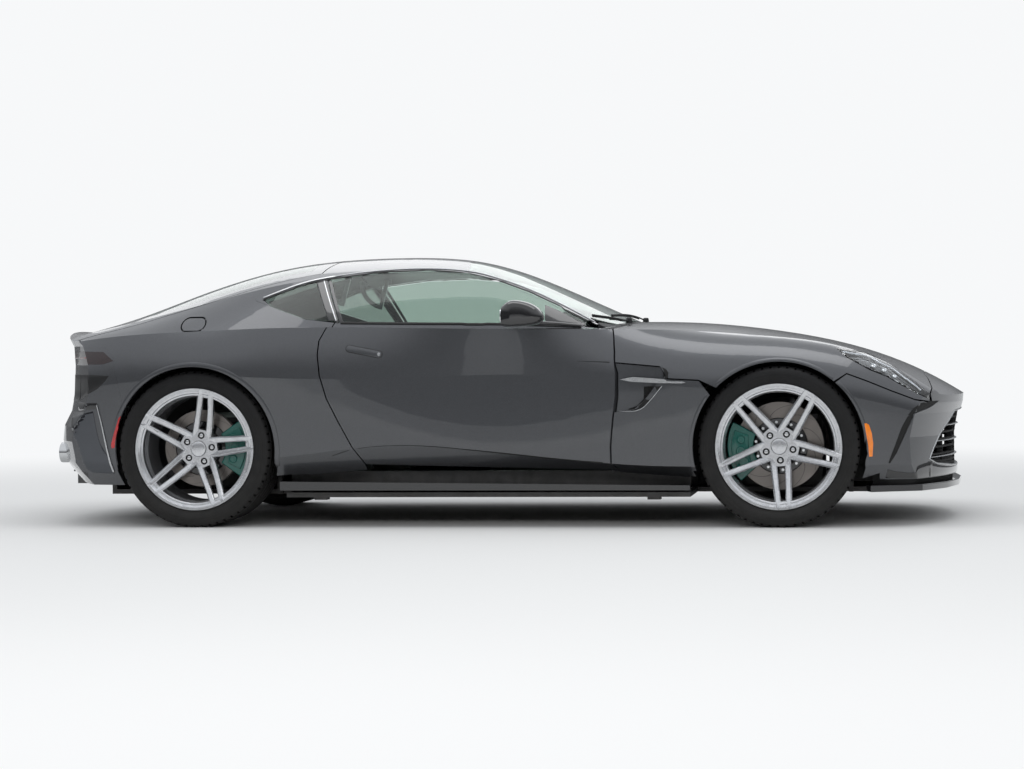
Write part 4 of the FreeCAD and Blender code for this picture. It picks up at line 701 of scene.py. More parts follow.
class COUPE_OT_wheels(bpy.types.Operator):
    """Tyres with tread, finished rims with nuts and caps, two-piece discs and calipers."""

    bl_idname = "coupe.wheels"
    bl_label = "Wheels and brakes"

    # Stations of a spoke: distance from the axle, far and near edge from the pair's middle, crest from the lip
    SPOKE = [(0.046, 0.0430, 0.0176, -0.0748), (0.066, 0.0462, 0.0174, -0.0738), (0.090, 0.0468, 0.0170, -0.0690),
             (0.120, 0.0455, 0.0166, -0.0600), (0.160, 0.0428, 0.0156, -0.0460), (0.198, 0.0408, 0.0138, -0.0322),
             (0.234, 0.0392, 0.0118, -0.0145), (0.256, 0.0382, 0.0103, -0.0040), (0.2700, 0.0376, 0.0098, 0.0010),
             (0.2822, 0.0372, 0.0096, 0.0014)]
    NUT_CIRCLE = 0.0635
    POCKET = 0.0158
    FIFTHS = [Matrix.Rotation(math.tau * index / 5, 4, "Y") for index in range(5)]

    def execute(self, context):
        for corner in WHEELS:
            body = "wheel_" + corner
            self.add_tyre(corner, body)
            self.add_rim(corner, body)
            self.add_hub(corner, body)
            self.add_disc(corner, body)
        for name in ("front_caliper_left", "front_caliper_right", "rear_calipers"):
            softened(name, 0.007, "caliper", 3, 30.0)
        for corner in WHEELS:
            self.add_pads(corner)
            self.add_caliper_face(corner)
        return {"FINISHED"}

    def turn_of(self, corner):
        """Turn of a wheel on its axle, in degrees."""
        return -13.5 if "front" in corner else 5.8

    def add_rim(self, corner, body):
        """Barrel with a stepped lip, five pairs of ridged spokes and a lobed hub plate with nut pockets."""
        lip = rim_lip(corner)
        outer = [(0.0080, 0.2840), (0.0010, 0.2840), (0.0, 0.2830), (0.0005, 0.2715), (0.0022, 0.2700),
                 (0.0050, 0.2625), (0.0066, 0.2605), (0.0100, 0.2602), (0.0100, 0.2580), (0.0070, 0.2577),
                 (0.0085, 0.2520), (0.0105, 0.2500), (0.0400, 0.2500), (0.0500, 0.2560), (0.0720, 0.2440)]
        inner = [(0.062, 0.2440), (0.048, 0.2580), (0.002, 0.2600), (0.0, 0.2620), (0.0, 0.2830), (0.001, 0.2840),
                 (0.008, 0.2840), (0.009, 0.2680), (0.045, 0.2660), (0.060, 0.2520)]
        under = [(0.0700, 0.2520), (0.0450, 0.2660), (0.0090, 0.2680)]
        profile = [(lip - y, r) for y, r in outer] + [(y - lip, r) for y, r in inner] + [(lip - y, r) for y, r in under]
        rim = lathe(profile, 180, close=True)
        for turn in self.FIFTHS:
            for way in (-1, 1):
                join(rim, self.spoke(lip, way, turn))
            block(rim, (0.016, 0.012, 0.030), turn @ Vector((-0.2530, lip - 0.0190, 0)), 0.0015, 2, turn)
        join(rim, self.hub_plate(lip))
        spun(rim, self.turn_of(corner))
        at_wheel(rim, corner)
        obj = mesh_object("rim_%s_spokes" % corner, rim, "wheel", body, 24.0)
        rounded(obj, 0.0011, 34)
        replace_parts(obj, "rim_" + corner)

    def spoke(self, lip, way, turn):
        """One spoke of a pair: a bar with a crest, a face that slopes to the slot and two chamfers."""
        bm = bmesh.new()
        rings = []
        for reach, far, near, top in self.SPOKE:
            crest = lip + top
            back = crest - (0.024 if reach < 0.22 else 0.016)
            row = [(far + 0.0020, back), (far, crest - 0.0065), (far - 0.0070, crest), (far - 0.0105, crest - 0.0002),
                   (near + 0.0045, crest - 0.0026), (near, crest - 0.0075), (near - 0.0010, back)]
            rings.append(ring_of(bm, [turn @ Vector((-reach, y, way * across)) for across, y in row]))
        bridged(bm, rings, capped=True)
        return bm

    def hub_plate(self, lip):
        """Flat plate with a lobe for each pair of spokes and five round pockets."""
        bm = bmesh.new()
        top = lip - 0.0738
        half_step = Matrix.Rotation(math.tau / 10, 4, "Y")
        corners = []
        for turn in self.FIFTHS:
            corners += [turn @ Vector((-0.0905, top, z)) for z in (-0.0180, 0.0180)]
            corners.append(turn @ half_step @ Vector((-0.0620, top, 0)))
        rims = [ring_of(bm, sorted(corners, key=lambda spot: math.atan2(spot.z, spot.x)))]
        for turn in self.FIFTHS:
            middle = turn @ Vector((-self.NUT_CIRCLE, top, 0))
            angles = [math.tau * step / 28 for step in range(28)]
            rims.append(ring_of(bm, [middle + Vector((math.cos(angle), 0, math.sin(angle))) * self.POCKET
                                     for angle in angles]))
        bmesh.ops.triangle_fill(bm, use_beauty=True, use_dissolve=False, edges=[edge for rim in rims for edge in rim])
        for rim, depth in zip(rims, [0.026] + [0.013] * 5):
            wall = bmesh.ops.extrude_edge_only(bm, edges=rim)["geom"]
            verts = [item for item in wall if isinstance(item, bmesh.types.BMVert)]
            bmesh.ops.translate(bm, verts=verts, vec=(0, -depth, 0))
        bmesh.ops.recalc_face_normals(bm, faces=bm.faces)
        return bm

    def add_caliper_face(self, corner):
        """Raised face over the pistons of a caliper, with three round covers."""
        face = rim_lip(corner) - 0.1088
        reach = 0.176 if "front" in corner else 0.168
        bm = bmesh.new()
        arc = [math.radians(-27 + 3 * step) for step in range(19)]
        outline = [(0.150 - 0.012 * math.cos(3 * angle), angle) for angle in arc]
        outline += [(0.208 + 0.010 * math.cos(2 * angle), angle) for angle in reversed(arc)]
        plate = bm.faces.new([bm.verts.new((r * math.cos(a), face - 0.002, r * math.sin(a))) for r, a in outline])
        grown = bmesh.ops.extrude_face_region(bm, geom=[plate])["geom"]
        top = {item for item in grown if isinstance(item, bmesh.types.BMVert)}
        bmesh.ops.translate(bm, verts=list(top), vec=(0, 0.009, 0))
        edges = [edge for edge in bm.edges if top.issuperset(edge.verts)]
        bmesh.ops.bevel(bm, geom=edges, offset=0.004, affect="EDGES", segments=3, profile=0.5, material=-1)
        for turn, size in ((-17, 0.019), (0, 0.022), (17, 0.024)):
            join(bm, repeated([(face, 0.0), (face, size), (face + 0.010, size), (face + 0.0135, size - 0.004),
                               (face + 0.0135, size * 0.5), (face + 0.0120, size * 0.42), (face + 0.0120, 0.0)],
                              32, reach, [turn]))
        bmesh.ops.recalc_face_normals(bm, faces=bm.faces)
        at_brake(bm, corner, "caliper_face", "caliper")

    def add_tyre(self, corner, body):
        """Tyre with stepped walls, five ribs between grooves and cuts across its shoulders."""
        width, radius = WHEELS[corner][2:]
        half = width / 2
        seat = rim_lip(corner) - 0.0093
        depth = settings().tread_depth
        floor = radius - depth
        wall = [(seat - 0.006, 0.2690), (seat, 0.2745), (seat + 0.0005, 0.2865), (seat + 0.0065, 0.2885),
                (seat + 0.0095, 0.2925), (seat + 0.0100, 0.2965), (seat + 0.0135, 0.3010), (seat + 0.0140, 0.3022),
                (seat + 0.0185, 0.3085), (half - 0.0012, 0.3170), (half - 0.0004, 0.3175), (half - 0.0002, 0.3300),
                (half - 0.0010, 0.3305), (half - 0.0035, radius - 0.0225), (half - 0.0085, radius - 0.0125),
                (half - 0.0165, radius - 0.0050), (half - 0.0270, radius - 0.0018)]
        inner_edge = half - 0.040
        groove = 0.0095
        ribs = 5
        rib = 2 * inner_edge / ribs
        shoulder = [(inner_edge + groove, radius - 0.0010), (inner_edge + groove - 0.001, floor)]
        lands = []
        for index in range(ribs):
            start = inner_edge - index * rib
            stop = start - rib + groove
            lands += [(start, radius - 0.0004), (stop, radius - 0.0002), (stop - 0.001, floor),
                      (stop - groove + 0.001, floor)]
        profile = wall + shoulder + [(inner_edge + 0.001, floor)] + lands[:-2] + [(-inner_edge, floor)]
        profile += [(-y, r) for y, r in reversed(wall + shoulder)]
        steps = 240
        bm = lathe(profile, steps, close=True)
        bm.normal_update()
        shoulders = []
        for face in bm.faces:
            middle = face.calc_center_median()
            turn = math.floor(math.atan2(middle.z, middle.x) / math.tau * steps)
            if (turn % 4 == 0 and math.hypot(middle.x, middle.z) > radius - 0.013
                    and abs(middle.y) > inner_edge + groove):
                shoulders.append(face)
        for face in bmesh.ops.extrude_discrete_faces(bm, faces=shoulders)["faces"]:
            middle = face.calc_center_median()
            inward = Vector((-middle.x, 0, -middle.z)).normalized() * 0.004
            bmesh.ops.translate(bm, verts=face.verts, vec=inward)
        at_wheel(bm, corner)
        obj = mesh_object("tyre_%s_tread" % corner, bm, "tyre", body, 30.0)
        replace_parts(obj, "tyre_" + corner)

    def add_hub(self, corner, body):
        """Round blank cap with a dark line round it, and five nuts in dark pockets that are painted shade."""
        face = rim_lip(corner) - HUB_DEPTH
        cap = lathe([(face - 0.004, 0.0), (face - 0.004, 0.036), (face + 0.0035, 0.036), (face + 0.0050, 0.0345),
                     (face + 0.0042, 0.0325), (face + 0.0048, 0.0310), (face + 0.0062, 0.018), (face + 0.0066, 0.0)],
                    64)
        line = lathe([(face - 0.001, 0.0362), (face + 0.0014, 0.0362), (face + 0.0014, 0.0374),
                      (face - 0.001, 0.0374)], 72, close=True)
        around = [180 + 72 * index for index in range(5)]
        # Painted shade: the pockets are black cups, darker than the silver wheel, where shade falls round the nuts.
        cups = repeated([(face - 0.0004, self.POCKET - 0.0002), (face - 0.0125, self.POCKET - 0.0006),
                         (face - 0.0130, 0.0)], 28, self.NUT_CIRCLE, around)
        nuts = repeated([(face - 0.014, 0.0), (face - 0.014, 0.0102), (face - 0.0045, 0.0102),
                         (face - 0.0020, 0.0088), (face - 0.0002, 0.0052), (face + 0.0004, 0.0)], 24,
                        self.NUT_CIRCLE, around)
        spun(cups, self.turn_of(corner))
        spun(nuts, self.turn_of(corner))
        for name, bm, finish_name, smooth in (("cap", cap, "wheel", 35.0), ("cap_line", line, "seal", 35.0),
                                              ("nut_pockets_painted_shade", cups, "well", 30.0), ("nuts", nuts, "chrome", 30.0)):
            at_wheel(bm, corner)
            mesh_object("%s_%s" % (name, corner), bm, finish_name, body, smooth)

    def add_disc(self, corner, body):
        """Iron rotor with a vented edge and curved grooves, and a dark bell held by ten bobbins."""
        rotor, face, front, back = disc_sizes(corner)
        plate = lathe([(front, 0.128), (front, rotor - 0.001), (front - 0.001, rotor), (front - 0.012, rotor),
                       (front - 0.013, rotor - 0.006), (back + 0.013, rotor - 0.006), (back + 0.012, rotor),
                       (back + 0.001, rotor), (back, rotor - 0.001), (back, 0.128)], 160, close=True)
        at_wheel(plate, corner)
        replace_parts(mesh_object("rotor_" + corner, plate, "disc", body, 30.0), "disc_" + corner)
        lines = bmesh.new()
        half = 0.0013
        for index in range(10):
            ring = [(0.136 + step * (rotor - 0.142) / 8, math.tau * index / 10 + (step / 8) ** 1.3 * 0.62)
                    for step in range(9)]
            edges = []
            for way in (-1, 1):
                edges += chain_of(lines, [(r * math.cos(a + way * half / r), front + 0.0003,
                                           r * math.sin(a + way * half / r)) for r, a in ring])
            bmesh.ops.bridge_loops(lines, edges=edges)
        bmesh.ops.recalc_face_normals(lines, faces=lines.faces)
        bmesh.ops.solidify(lines, geom=lines.faces[:], thickness=0.0004)
        bell = lathe([(face, 0.0325), (face, 0.078), (face - 0.004, 0.086), (front + 0.004, 0.098),
                      (front - 0.002, 0.124), (front - 0.010, 0.124), (front - 0.012, 0.104), (face - 0.012, 0.078),
                      (face - 0.012, 0.0325)], 80, close=True)
        bobbins = repeated([(front - 0.006, 0.0), (front - 0.006, 0.0070), (front + 0.0045, 0.0070),
                            (front + 0.0055, 0.0060), (front + 0.0055, 0.0035), (front + 0.003, 0.0032),
                            (front + 0.003, 0.0)], 16, 0.109, [36 * (index + 0.3) for index in range(10)])
        for name, bm, finish_name, smooth in (("rotor_grooves", lines, "well", 35.0),
                                              ("bell", bell, "gloss_black", 30.0),
                                              ("bobbins", bobbins, "chrome", 35.0)):
            at_wheel(bm, corner)
            mesh_object("%s_%s" % (name, corner), bm, finish_name, body, smooth)

    def add_pads(self, corner):
        """A brake pad on each side of the rotor."""
        rotor, face, front, back = disc_sizes(corner)
        bm = bmesh.new()
        for low, high in ((front + 0.0006, front + 0.0052), (back - 0.0052, back - 0.0006)):
            block(bm, (0.055, high - low, 0.125), (rotor - 0.036, (low + high) / 2, 0), 0.0015)
        at_brake(bm, corner, "pads", "chassis")


class COUPE_OT_lamps(bpy.types.Operator):
    """Headlamps with lens, dark housing, light guide and projectors, and the tail lamp band."""

    bl_idname = "coupe.lamps"
    bl_label = "Lamps"

    def execute(self, context):
        for side, word in SIDE_WORD.items():
            self.headlamp(side, word)
        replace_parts(bpy.data.objects["lamp_housing_right"], "headlamps")
        self.tail_band()
        return {"FINISHED"}

    def shell(self, node, side, outer):
        """The outer faces of one side's lamp, or all its other faces."""
        bm = merged_copy(node)
        bmesh.ops.delete(bm, geom=[vert for vert in bm.verts if vert.co.y * side < 0], context="VERTS")
        bm.normal_update()
        away = Vector((0.4, side, 0.7)).normalized()
        wanted = []
        for face in bm.faces:
            skin = face.normal.dot(away) > 0.25 and abs(face.normal.y) >= 0.02
            wanted.append((face, skin))
        bmesh.ops.delete(bm, geom=[face for face, skin in wanted if skin != outer], context="FACES")
        return bm

    def headlamp(self, side, word):
        lens = self.shell("headlamps", side, True)
        walled(mesh_object("lamp_lens_" + word, lens, "lens", "bonnet", 40.0), 0.0022)
        bowl = self.shell("headlamps", side, False)
        bmesh.ops.reverse_faces(bowl, faces=bowl.faces)
        mesh_object("lamp_housing_" + word, bowl, "gloss_black", "bonnet", 30.0)
        upper = [(1.640, 0.7930), (1.700, 0.7820), (1.748, 0.7740), (1.812, 0.7400), (1.867, 0.7120), (1.910, 0.6780),
                 (1.955, 0.6450), (1.990, 0.6140)]
        flat = resampled(upper, 40)
        guide = swept([on_side(*point, side, ["headlamps"], -0.0075)[0] for point in flat], 0.0034)
        mesh_object("light_guide_" + word, guide, "led", "bonnet")
        lower = [(1.700, 0.7530), (1.765, 0.7180), (1.836, 0.6880), (1.889, 0.6570), (1.950, 0.6200)]
        flat = resampled(lower, 34)
        blade = swept([on_side(*point, side, ["headlamps"], -0.012)[0] for point in flat], 0.0045, squeeze=0.5)
        mesh_object("lamp_blade_" + word, blade, "bright", "bonnet")
        for index, (x, z, radius) in enumerate(((1.7800, 0.7330, 0.0140), (1.8280, 0.7130, 0.0135),
                                                (1.8750, 0.6840, 0.0120))):
            spot, normal = on_side(x, z, side, ["headlamps"], -0.0175)
            bezel = lathe([(-0.004, radius * 0.7), (0.0, radius), (0.006, radius), (0.0075, radius * 0.93),
                           (0.0060, radius * 0.86), (0.0020, radius * 0.80)], 36)
            eye = lathe([(0.0010, radius * 0.80), (0.0045, radius * 0.62), (0.0062, radius * 0.36), (0.0068, 0.0)],
                        36)
            for part, name, kind in ((bezel, "bezel", "chrome"), (eye, "projector", "mirror")):
                bmesh.ops.transform(part, matrix=facing(spot, normal), verts=part.verts)
                mesh_object("lamp_%s_%d_%s" % (name, index + 1, word), part, kind, "bonnet")

    def tail_band(self):
        """Two light bars on the smoked band across the tail."""
        for side, word in SIDE_WORD.items():
            line = [on_rear(0.10 + 0.78 * step / 35, 0.795, side, ["tail_lamps"], 0.0006)[0] for step in range(36)]
            mesh_object("tail_bar_" + word, swept(line, 0.0030, squeeze=0.5), "red", "body")


class COUPE_OT_nose(bpy.types.Operator):
    """Grille vanes and rim, side intakes, lower valance and splitter."""

    bl_idname = "coupe.nose"
    bl_label = "Nose"

    NOSE_LINE = [(0.160, 2.165), (0.400, 2.165), (0.505, 2.183), (0.550, 2.195)]
    PLAN_CENTRE = 0.415
    MOUTH = [(0.0, 0.512), (0.355, 0.508), (0.520, 0.430), (0.632, 0.348), (0.684, 0.296), (0.600, 0.274),
             (0.340, 0.256), (0.0, 0.252)]
    VANES = ((0.444, 0.482), (0.374, 0.588), (0.302, 0.660))

    def execute(self, context):
        self.vanes()
        self.rim()
        self.intakes()
        self.valance()
        self.inner_wall()
        softened("front_splitter", 0.004, "gloss_black", 2, 30.0)
        return {"FINISHED"}

    def inner_wall(self):
        """Dark wall inside the bumper that closes it from below and towards the wheels."""
        low, high = 0.186, 0.300
        plan = [(1.795, 0.0), (1.795, 0.800), (1.768, 0.848), (1.850, 0.842), (1.950, 0.800), (2.030, 0.640),
                (2.100, 0.405), (2.135, 0.250), (2.145, 0.0)]
        loop = plan + [(x, -y) for x, y in reversed(plan[1:-1])]
        bm = bmesh.new()
        bridged(bm, [ring_of(bm, [(x + SHIFT, y, z) for x, y in loop]) for z in (low, high)])
        for side in (-1, 1):
            for start, stop in ((0.955, 1.130), (1.575, 1.797)):
                corners = [(start, low), (stop, low), (stop, high), (start, high)]
                bm.faces.new([bm.verts.new((x + SHIFT, side * 0.474, z)) for x, z in corners])
        bmesh.ops.recalc_face_normals(bm, faces=bm.faces)
        walled(mesh_object("bumper_inner_wall", bm, "well", "body", 30.0), 0.004)

    def nose_at(self, y, z, back):
        """Point behind the nose's skin by some depth."""
        for (low, near), (high, far) in zip(self.NOSE_LINE, self.NOSE_LINE[1:]):
            if low <= z <= high:
                break
        reach = near + (far - near) * (z - low) / (high - low) - self.PLAN_CENTRE
        return Vector((self.PLAN_CENTRE + math.sqrt(reach ** 2 - y ** 2) - back + SHIFT, y, z))

    def vanes(self):
        depth = settings().vane_depth
        for index, (z, half) in enumerate(self.VANES):
            line = [self.nose_at(-half + 2 * half * step / 48, z, depth / 2 + 0.002) for step in range(49)]
            vane = swept(line, depth / 2, steps=12, squeeze=0.30)
            mesh_object("grille_vane_%d" % (index + 1), vane, "bright", "body")

    def rim(self):
        """Bright bead round the mouth."""
        loop = [Vector(point) for point in self.MOUTH] + [Vector((-y, z)) for y, z in reversed(self.MOUTH[1:-1])]
        middle = Vector((0, 0.385))
        points = []
        for one, two in zip(loop, loop[1:] + loop[:1]):
            steps = max(int((two - one).length / 0.02), 1)
            for step in range(steps):
                point = one.lerp(two, step / steps)
                spot = point + (point - middle).normalized() * 0.004
                points.append(self.nose_at(spot.x, spot.y, 0.001))
        mesh_object("grille_rim", swept(points, 0.0042, closed=True, steps=8), "bright", "body")

    def intakes(self):
        crescent = [(2.070, 0.5600), (2.0227, 0.5610), (1.985, 0.5540), (1.951, 0.5300), (1.9276, 0.5020),
                    (1.9466, 0.4830), (1.951, 0.5060), (1.975, 0.5160), (2.0227, 0.5330)]
        # Painted shade: a dark crescent over the intake's mouth, where shade falls inside the opening.
        outline_patch("intake_mouth_painted_shade", crescent, "well", "body", 0.0008, 0.0012)
        # Painted shade: a dark slit along the fold beside the intake.
        patch("intake_slit_painted_shade", [(1.9276, 0.4970), (1.8986, 0.4450), (1.870, 0.3690), (1.839, 0.2890)],
              [(1.9466, 0.4900), (1.9130, 0.4166), (1.875, 0.3316), (1.8455, 0.2850)], "well", "body", 0.0008, 0.0011,
              30)
        ribbon("intake_lip", [(2.066, 0.5570), (2.0227, 0.5295), (1.975, 0.5125), (1.9525, 0.5020), (1.9480, 0.4830),
                              (1.9150, 0.4130), (1.877, 0.3300)], 0.0055, 0.004, "paint", "body", 0.0015, 60)

    def valance(self):
        """Gloss black band under the bumper's lower edge."""
        patch("nose_valance_side",
              [(1.836, 0.2586), (1.880, 0.2470), (1.956, 0.2415), (1.972, 0.2700), (2.035, 0.2860)],
              [(1.826, 0.2190), (1.880, 0.2160), (1.956, 0.2150), (1.980, 0.2150), (2.035, 0.2150)],
              "gloss_black", "body", 0.0012, 0.0016, 40, 4)
        patch("nose_valance", [(0.0, 0.2440), (0.340, 0.2480), (0.560, 0.2620), (0.700, 0.2860)],
              [(0.0, 0.2150), (0.340, 0.2150), (0.560, 0.2150), (0.700, 0.2150)],
              "gloss_black", "body", 0.0012, 0.0016, 40, 4, ["front_bumper"], on_front)


class COUPE_OT_tail(bpy.types.Operator):
    """Painted shade in the tail recess, corner outlets, diffuser and exhaust tips."""

    bl_idname = "coupe.tail"
    bl_label = "Tail"

    def execute(self, context):
        bumper = ["rear_bumper"]
        # Painted shade: dark sheets over the tail recess, across the tail and round its corners, stand in for the shade
        # inside it.
        patch("recess_rear_painted_shade", [(0.0, 0.715), (0.40, 0.715), (0.80, 0.715)], [(0.0, 0.587), (0.40, 0.587), (0.80, 0.594)],
              "painted_recess_shade", "body", 0.0015, 0.0015, 44, 6, bumper, on_rear)
        patch("recess_corner_painted_shade", [(-1.945, 0.715), (-1.863, 0.715), (-1.765, 0.709)],
              [(-1.945, 0.594), (-1.826, 0.649), (-1.765, 0.7075)], "painted_recess_shade", "body", 0.0015, 0.0015, 24, 6,
              bumper)
        patch("outlet_roof", [(-1.978, 0.585), (-1.828, 0.583)], [(-1.952, 0.546), (-1.824, 0.556)], "gloss_black",
              "body", 0.0012, 0.0015, 12, 3, bumper)
        patch("outlet_panel",
              [(-1.850, 0.5450), (-1.824, 0.4090), (-1.785, 0.3380), (-1.761, 0.2960), (-1.757, 0.2500)],
              [(-2.014, 0.5080), (-1.950, 0.4200), (-1.920, 0.3380), (-1.904, 0.2800), (-1.874, 0.2540)],
              "smoked_chrome", "body", 0.0012, 0.0015, 30, 8, bumper)
        ribbon("outlet_edge", [(-1.828, 0.5740), (-1.805, 0.4800), (-1.783, 0.3710), (-1.758, 0.2580)], 0.010, 0.0045,
               "bright", "body", 0.003, 50, (0.5, 1.0), bumper)
        for name in ("exhaust_tips", "rear_diffuser"):
            softened(name, 0.003, NODE_FINISH[name], 2, 35.0)
        return {"FINISHED"}


class COUPE_OT_trim(bpy.types.Operator):
    """Bright strips, seals, pillar covers, handles, side markers, arch bands and wipers."""

    bl_idname = "coupe.trim"
    bl_label = "Side trim"

    CANTRAIL = [(-1.092, 1.063), (-0.920, 1.127), (-0.773, 1.158), (-0.531, 1.185), (-0.290, 1.191),
                (-0.094, 1.173), (0.053, 1.134), (0.199, 1.080), (0.344, 1.012), (0.500, 0.930)]
    BELT = [(-0.684, 0.944), (-0.293, 0.936), (0.081, 0.929), (0.452, 0.914)]
    DOORS = {-1: "door_right", 1: "door_left"}
    DOOR_SKIN = ["door_left", "door_right"]
    GLASS_SKIN = ["door_glass_left", "door_glass_right", "roof_frame", "door_left", "door_right"]
    MIRROR = [(0.1020, 1.0005), (0.1518, 1.0360), (0.2257, 1.0274), (0.2799, 0.9981), (0.3019, 0.9502),
              (0.2567, 0.9222), (0.1151, 0.9176), (0.1010, 0.9624)]

    def execute(self, context):
        self.strips(settings().trim_width)
        self.pillars()
        self.handle()
        self.markers()
        self.arches()
        self.wipers()
        self.lower_body()
        self.vent()
        for side in (-1, 1):
            self.mirror(side)
        return {"FINISHED"}

    def vent(self):
        """Dark mouth of the side vent as painted shade, its bright lower lip as a painted highlight, and a painted
        shadow line that fades onto the door.
        """
        wing = ["lower_wings", "bonnet"]
        # Painted shadow: a dark crescent at the vent's upper front edge.
        outline_patch("vent_crescent_painted_shadow", [(0.8276, 0.7269), (0.8519, 0.7169), (0.8634, 0.7001), (0.8601, 0.6842),
                                        (0.8514, 0.6695), (0.8410, 0.6736), (0.8495, 0.6939), (0.8452, 0.7116)],
                      "well", "body", 0.0010, 0.0012, wing)
        # Painted shade: a dark wedge over the vent's pocket, where shade falls inside it.
        outline_patch("vent_mouth_painted_shade", [(0.8300, 0.6401), (0.8070, 0.6130), (0.7770, 0.5771), (0.7450, 0.5456),
                                     (0.7142, 0.5325), (0.6791, 0.5305), (0.6792, 0.5390), (0.7176, 0.5521),
                                     (0.7466, 0.5837), (0.7597, 0.6172), (0.7480, 0.6390)], "well", "body", 0.0010,
                      0.0012, wing)
        # Painted highlight: a bright strip stands in for the light on the vent's lower edge, thinning towards the door.
        ribbon("vent_lip_painted_highlight", [(0.8330, 0.6401), (0.8095, 0.6120), (0.7794, 0.5761), (0.7466, 0.5440), (0.7142, 0.5300),
                            (0.6791, 0.5275), (0.6330, 0.5290)], 0.0040, 0.003, "bright", "body", 0.0014, 40,
               (1.0, 0.3), wing)
        # Painted shade: a dark line along the door's scallop crease, fading out towards the rear.
        ribbon("vent_line_painted_shade", [(0.4444, 0.7562), (0.5342, 0.7534), (0.5950, 0.7502)], 0.0050, 0.0010, "well",
               self.DOORS, 0.0005, 24, (0.15, 1.0), self.DOOR_SKIN)

    def mirror(self, side):
        """Boxy mirror head cut flat behind its glass, on an arm from the door's corner."""
        word = SIDE_WORD[side]
        loop = resampled(self.MIRROR + self.MIRROR[:1], 41)[:-1]
        middle = Vector((0.195, 0.972))
        bm = bmesh.new()
        rings = []
        for y, share in ((0.906, 0.50), (0.914, 0.74), (0.930, 0.92), (0.955, 0.99), (0.985, 1.0), (1.010, 0.97),
                         (1.028, 0.88), (1.038, 0.72), (1.0425, 0.46)):
            spots = [middle + (point - middle) * share for point in loop]
            rings.append(ring_of(bm, [(max(spot.x, 0.109) + SHIFT, side * y, spot.y) for spot in spots]))
        bridged(bm, rings, capped=True)
        arm = [(0.240, 0.945, 0.934), (0.300, 0.925, 0.932), (0.360, 0.900, 0.928), (0.415, 0.875, 0.922),
               (0.450, 0.862, 0.919)]
        join(bm, swept([(x + SHIFT, side * y, z) for x, y, z in arm], 0.0125, steps=14, squeeze=0.7))
        bmesh.ops.recalc_face_normals(bm, faces=bm.faces)
        head = mesh_object("mirror_head_" + word, bm, "gloss_black", self.DOORS[side], 40.0)
        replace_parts(head, "mirror_" + word)
        bm = bmesh.new()
        outline = []
        for step in range(32):
            across, up = math.cos(math.tau * step / 32), math.sin(math.tau * step / 32)
            outline.append((0.1075 + SHIFT, side * (0.980 + 0.048 * math.copysign(abs(across) ** 0.6, across)),
                            0.965 + 0.033 * math.copysign(abs(up) ** 0.6, up)))
        plate = bm.faces.new([bm.verts.new(spot) for spot in outline])
        grown = bmesh.ops.extrude_face_region(bm, geom=[plate])["geom"]
        bmesh.ops.translate(bm, verts=[item for item in grown if isinstance(item, bmesh.types.BMVert)],
                            vec=(0.003, 0, 0))
        bmesh.ops.recalc_face_normals(bm, faces=bm.faces)
        mesh_object("mirror_glass_" + word, bm, "mirror", self.DOORS[side], 40.0)

    def strips(self, width):
        """Bright strip over the side glass and the seals along its edges."""
        ribbon("cantrail_strip", shifted(self.CANTRAIL, 0, 0.0085), width, 0.004, "bright", "body", 0.002, 90,
               (0.75, 1.0))
        ribbon("cantrail_seal", shifted(self.CANTRAIL, 0, -0.0020), 0.0075, 0.003, "seal", "body", 0.0008, 90)
        ribbon("belt_seal", shifted(self.BELT, 0, 0.0015), 0.0115, 0.005, "seal", self.DOORS, 0.0015, 60,
               names=self.GLASS_SKIN)

    def pillars(self):
        """Cover and strip between door glass and quarter glass, dark glass edge and front corner panel."""
        patch("pillar_cover", [(-0.838, 1.140), (-0.7895, 1.153)], [(-0.742, 0.956), (-0.6935, 0.9495)],
              "gloss_black", "body", 0.0016, 0.0018, 6, 24)
        ribbon("pillar_strip", [(-0.7060, 0.9545), (-0.7540, 1.0520), (-0.8005, 1.1480)], 0.006, 0.003, "bright",
               "body", 0.0026, 30)
        patch("glass_band", [(-0.7795, 1.1485), (-0.7640, 1.1510)], [(-0.6870, 0.9460), (-0.6700, 0.9450)],
              "gloss_black", self.DOORS, 0.0010, 0.0011, 5, 24, self.GLASS_SKIN)
        outline_patch("sail_panel", [(0.300, 0.9205), (0.452, 0.9150), (0.470, 0.9230), (0.3459, 0.9880),
                                     (0.2751, 1.0180), (0.2810, 0.9487)], "gloss_black", self.DOORS, 0.0016, 0.0016,
                      self.GLASS_SKIN)

    def handle(self):
        """Flush pull with its shut line and a lock at the front end."""
        rear, front = Vector((-0.611, 0.825)), Vector((-0.472, 0.797))
        along = (front - rear).normalized()
        up = Vector((-along.y, along.x))
        for side, word in SIDE_WORD.items():
            for label, half, name, lift, thickness in (("line", 0.0178, "seal", 0.0004, 0.0012),
                                                       ("pull", 0.0146, "paint", 0.0020, 0.0024)):
                loop = []
                for middle, start in ((front, -90), (rear, 90)):
                    for angle in [math.radians(start + step * 15) for step in range(13)]:
                        loop.append(middle + along * half * math.cos(angle) + up * half * math.sin(angle))
                outline_patch("handle_" + label, [tuple(point) for point in loop], name, self.DOORS, thickness, lift,
                              self.DOOR_SKIN, (side,), 1)
            spot, normal = on_side(front.x, front.y, side, self.DOOR_SKIN, 0.0012)
            lock = lathe([(0.0, 0.0), (0.0018, 0.0), (0.0018, 0.0040), (0.0012, 0.0048), (0.0012, 0.0060),
                          (0.0020, 0.0062), (0.0018, 0.0078), (0.0, 0.0078)], 28)
            bmesh.ops.transform(lock, matrix=facing(spot, normal), verts=lock.verts)
            mesh_object("door_lock_" + word, lock, "bright", self.DOORS[side])

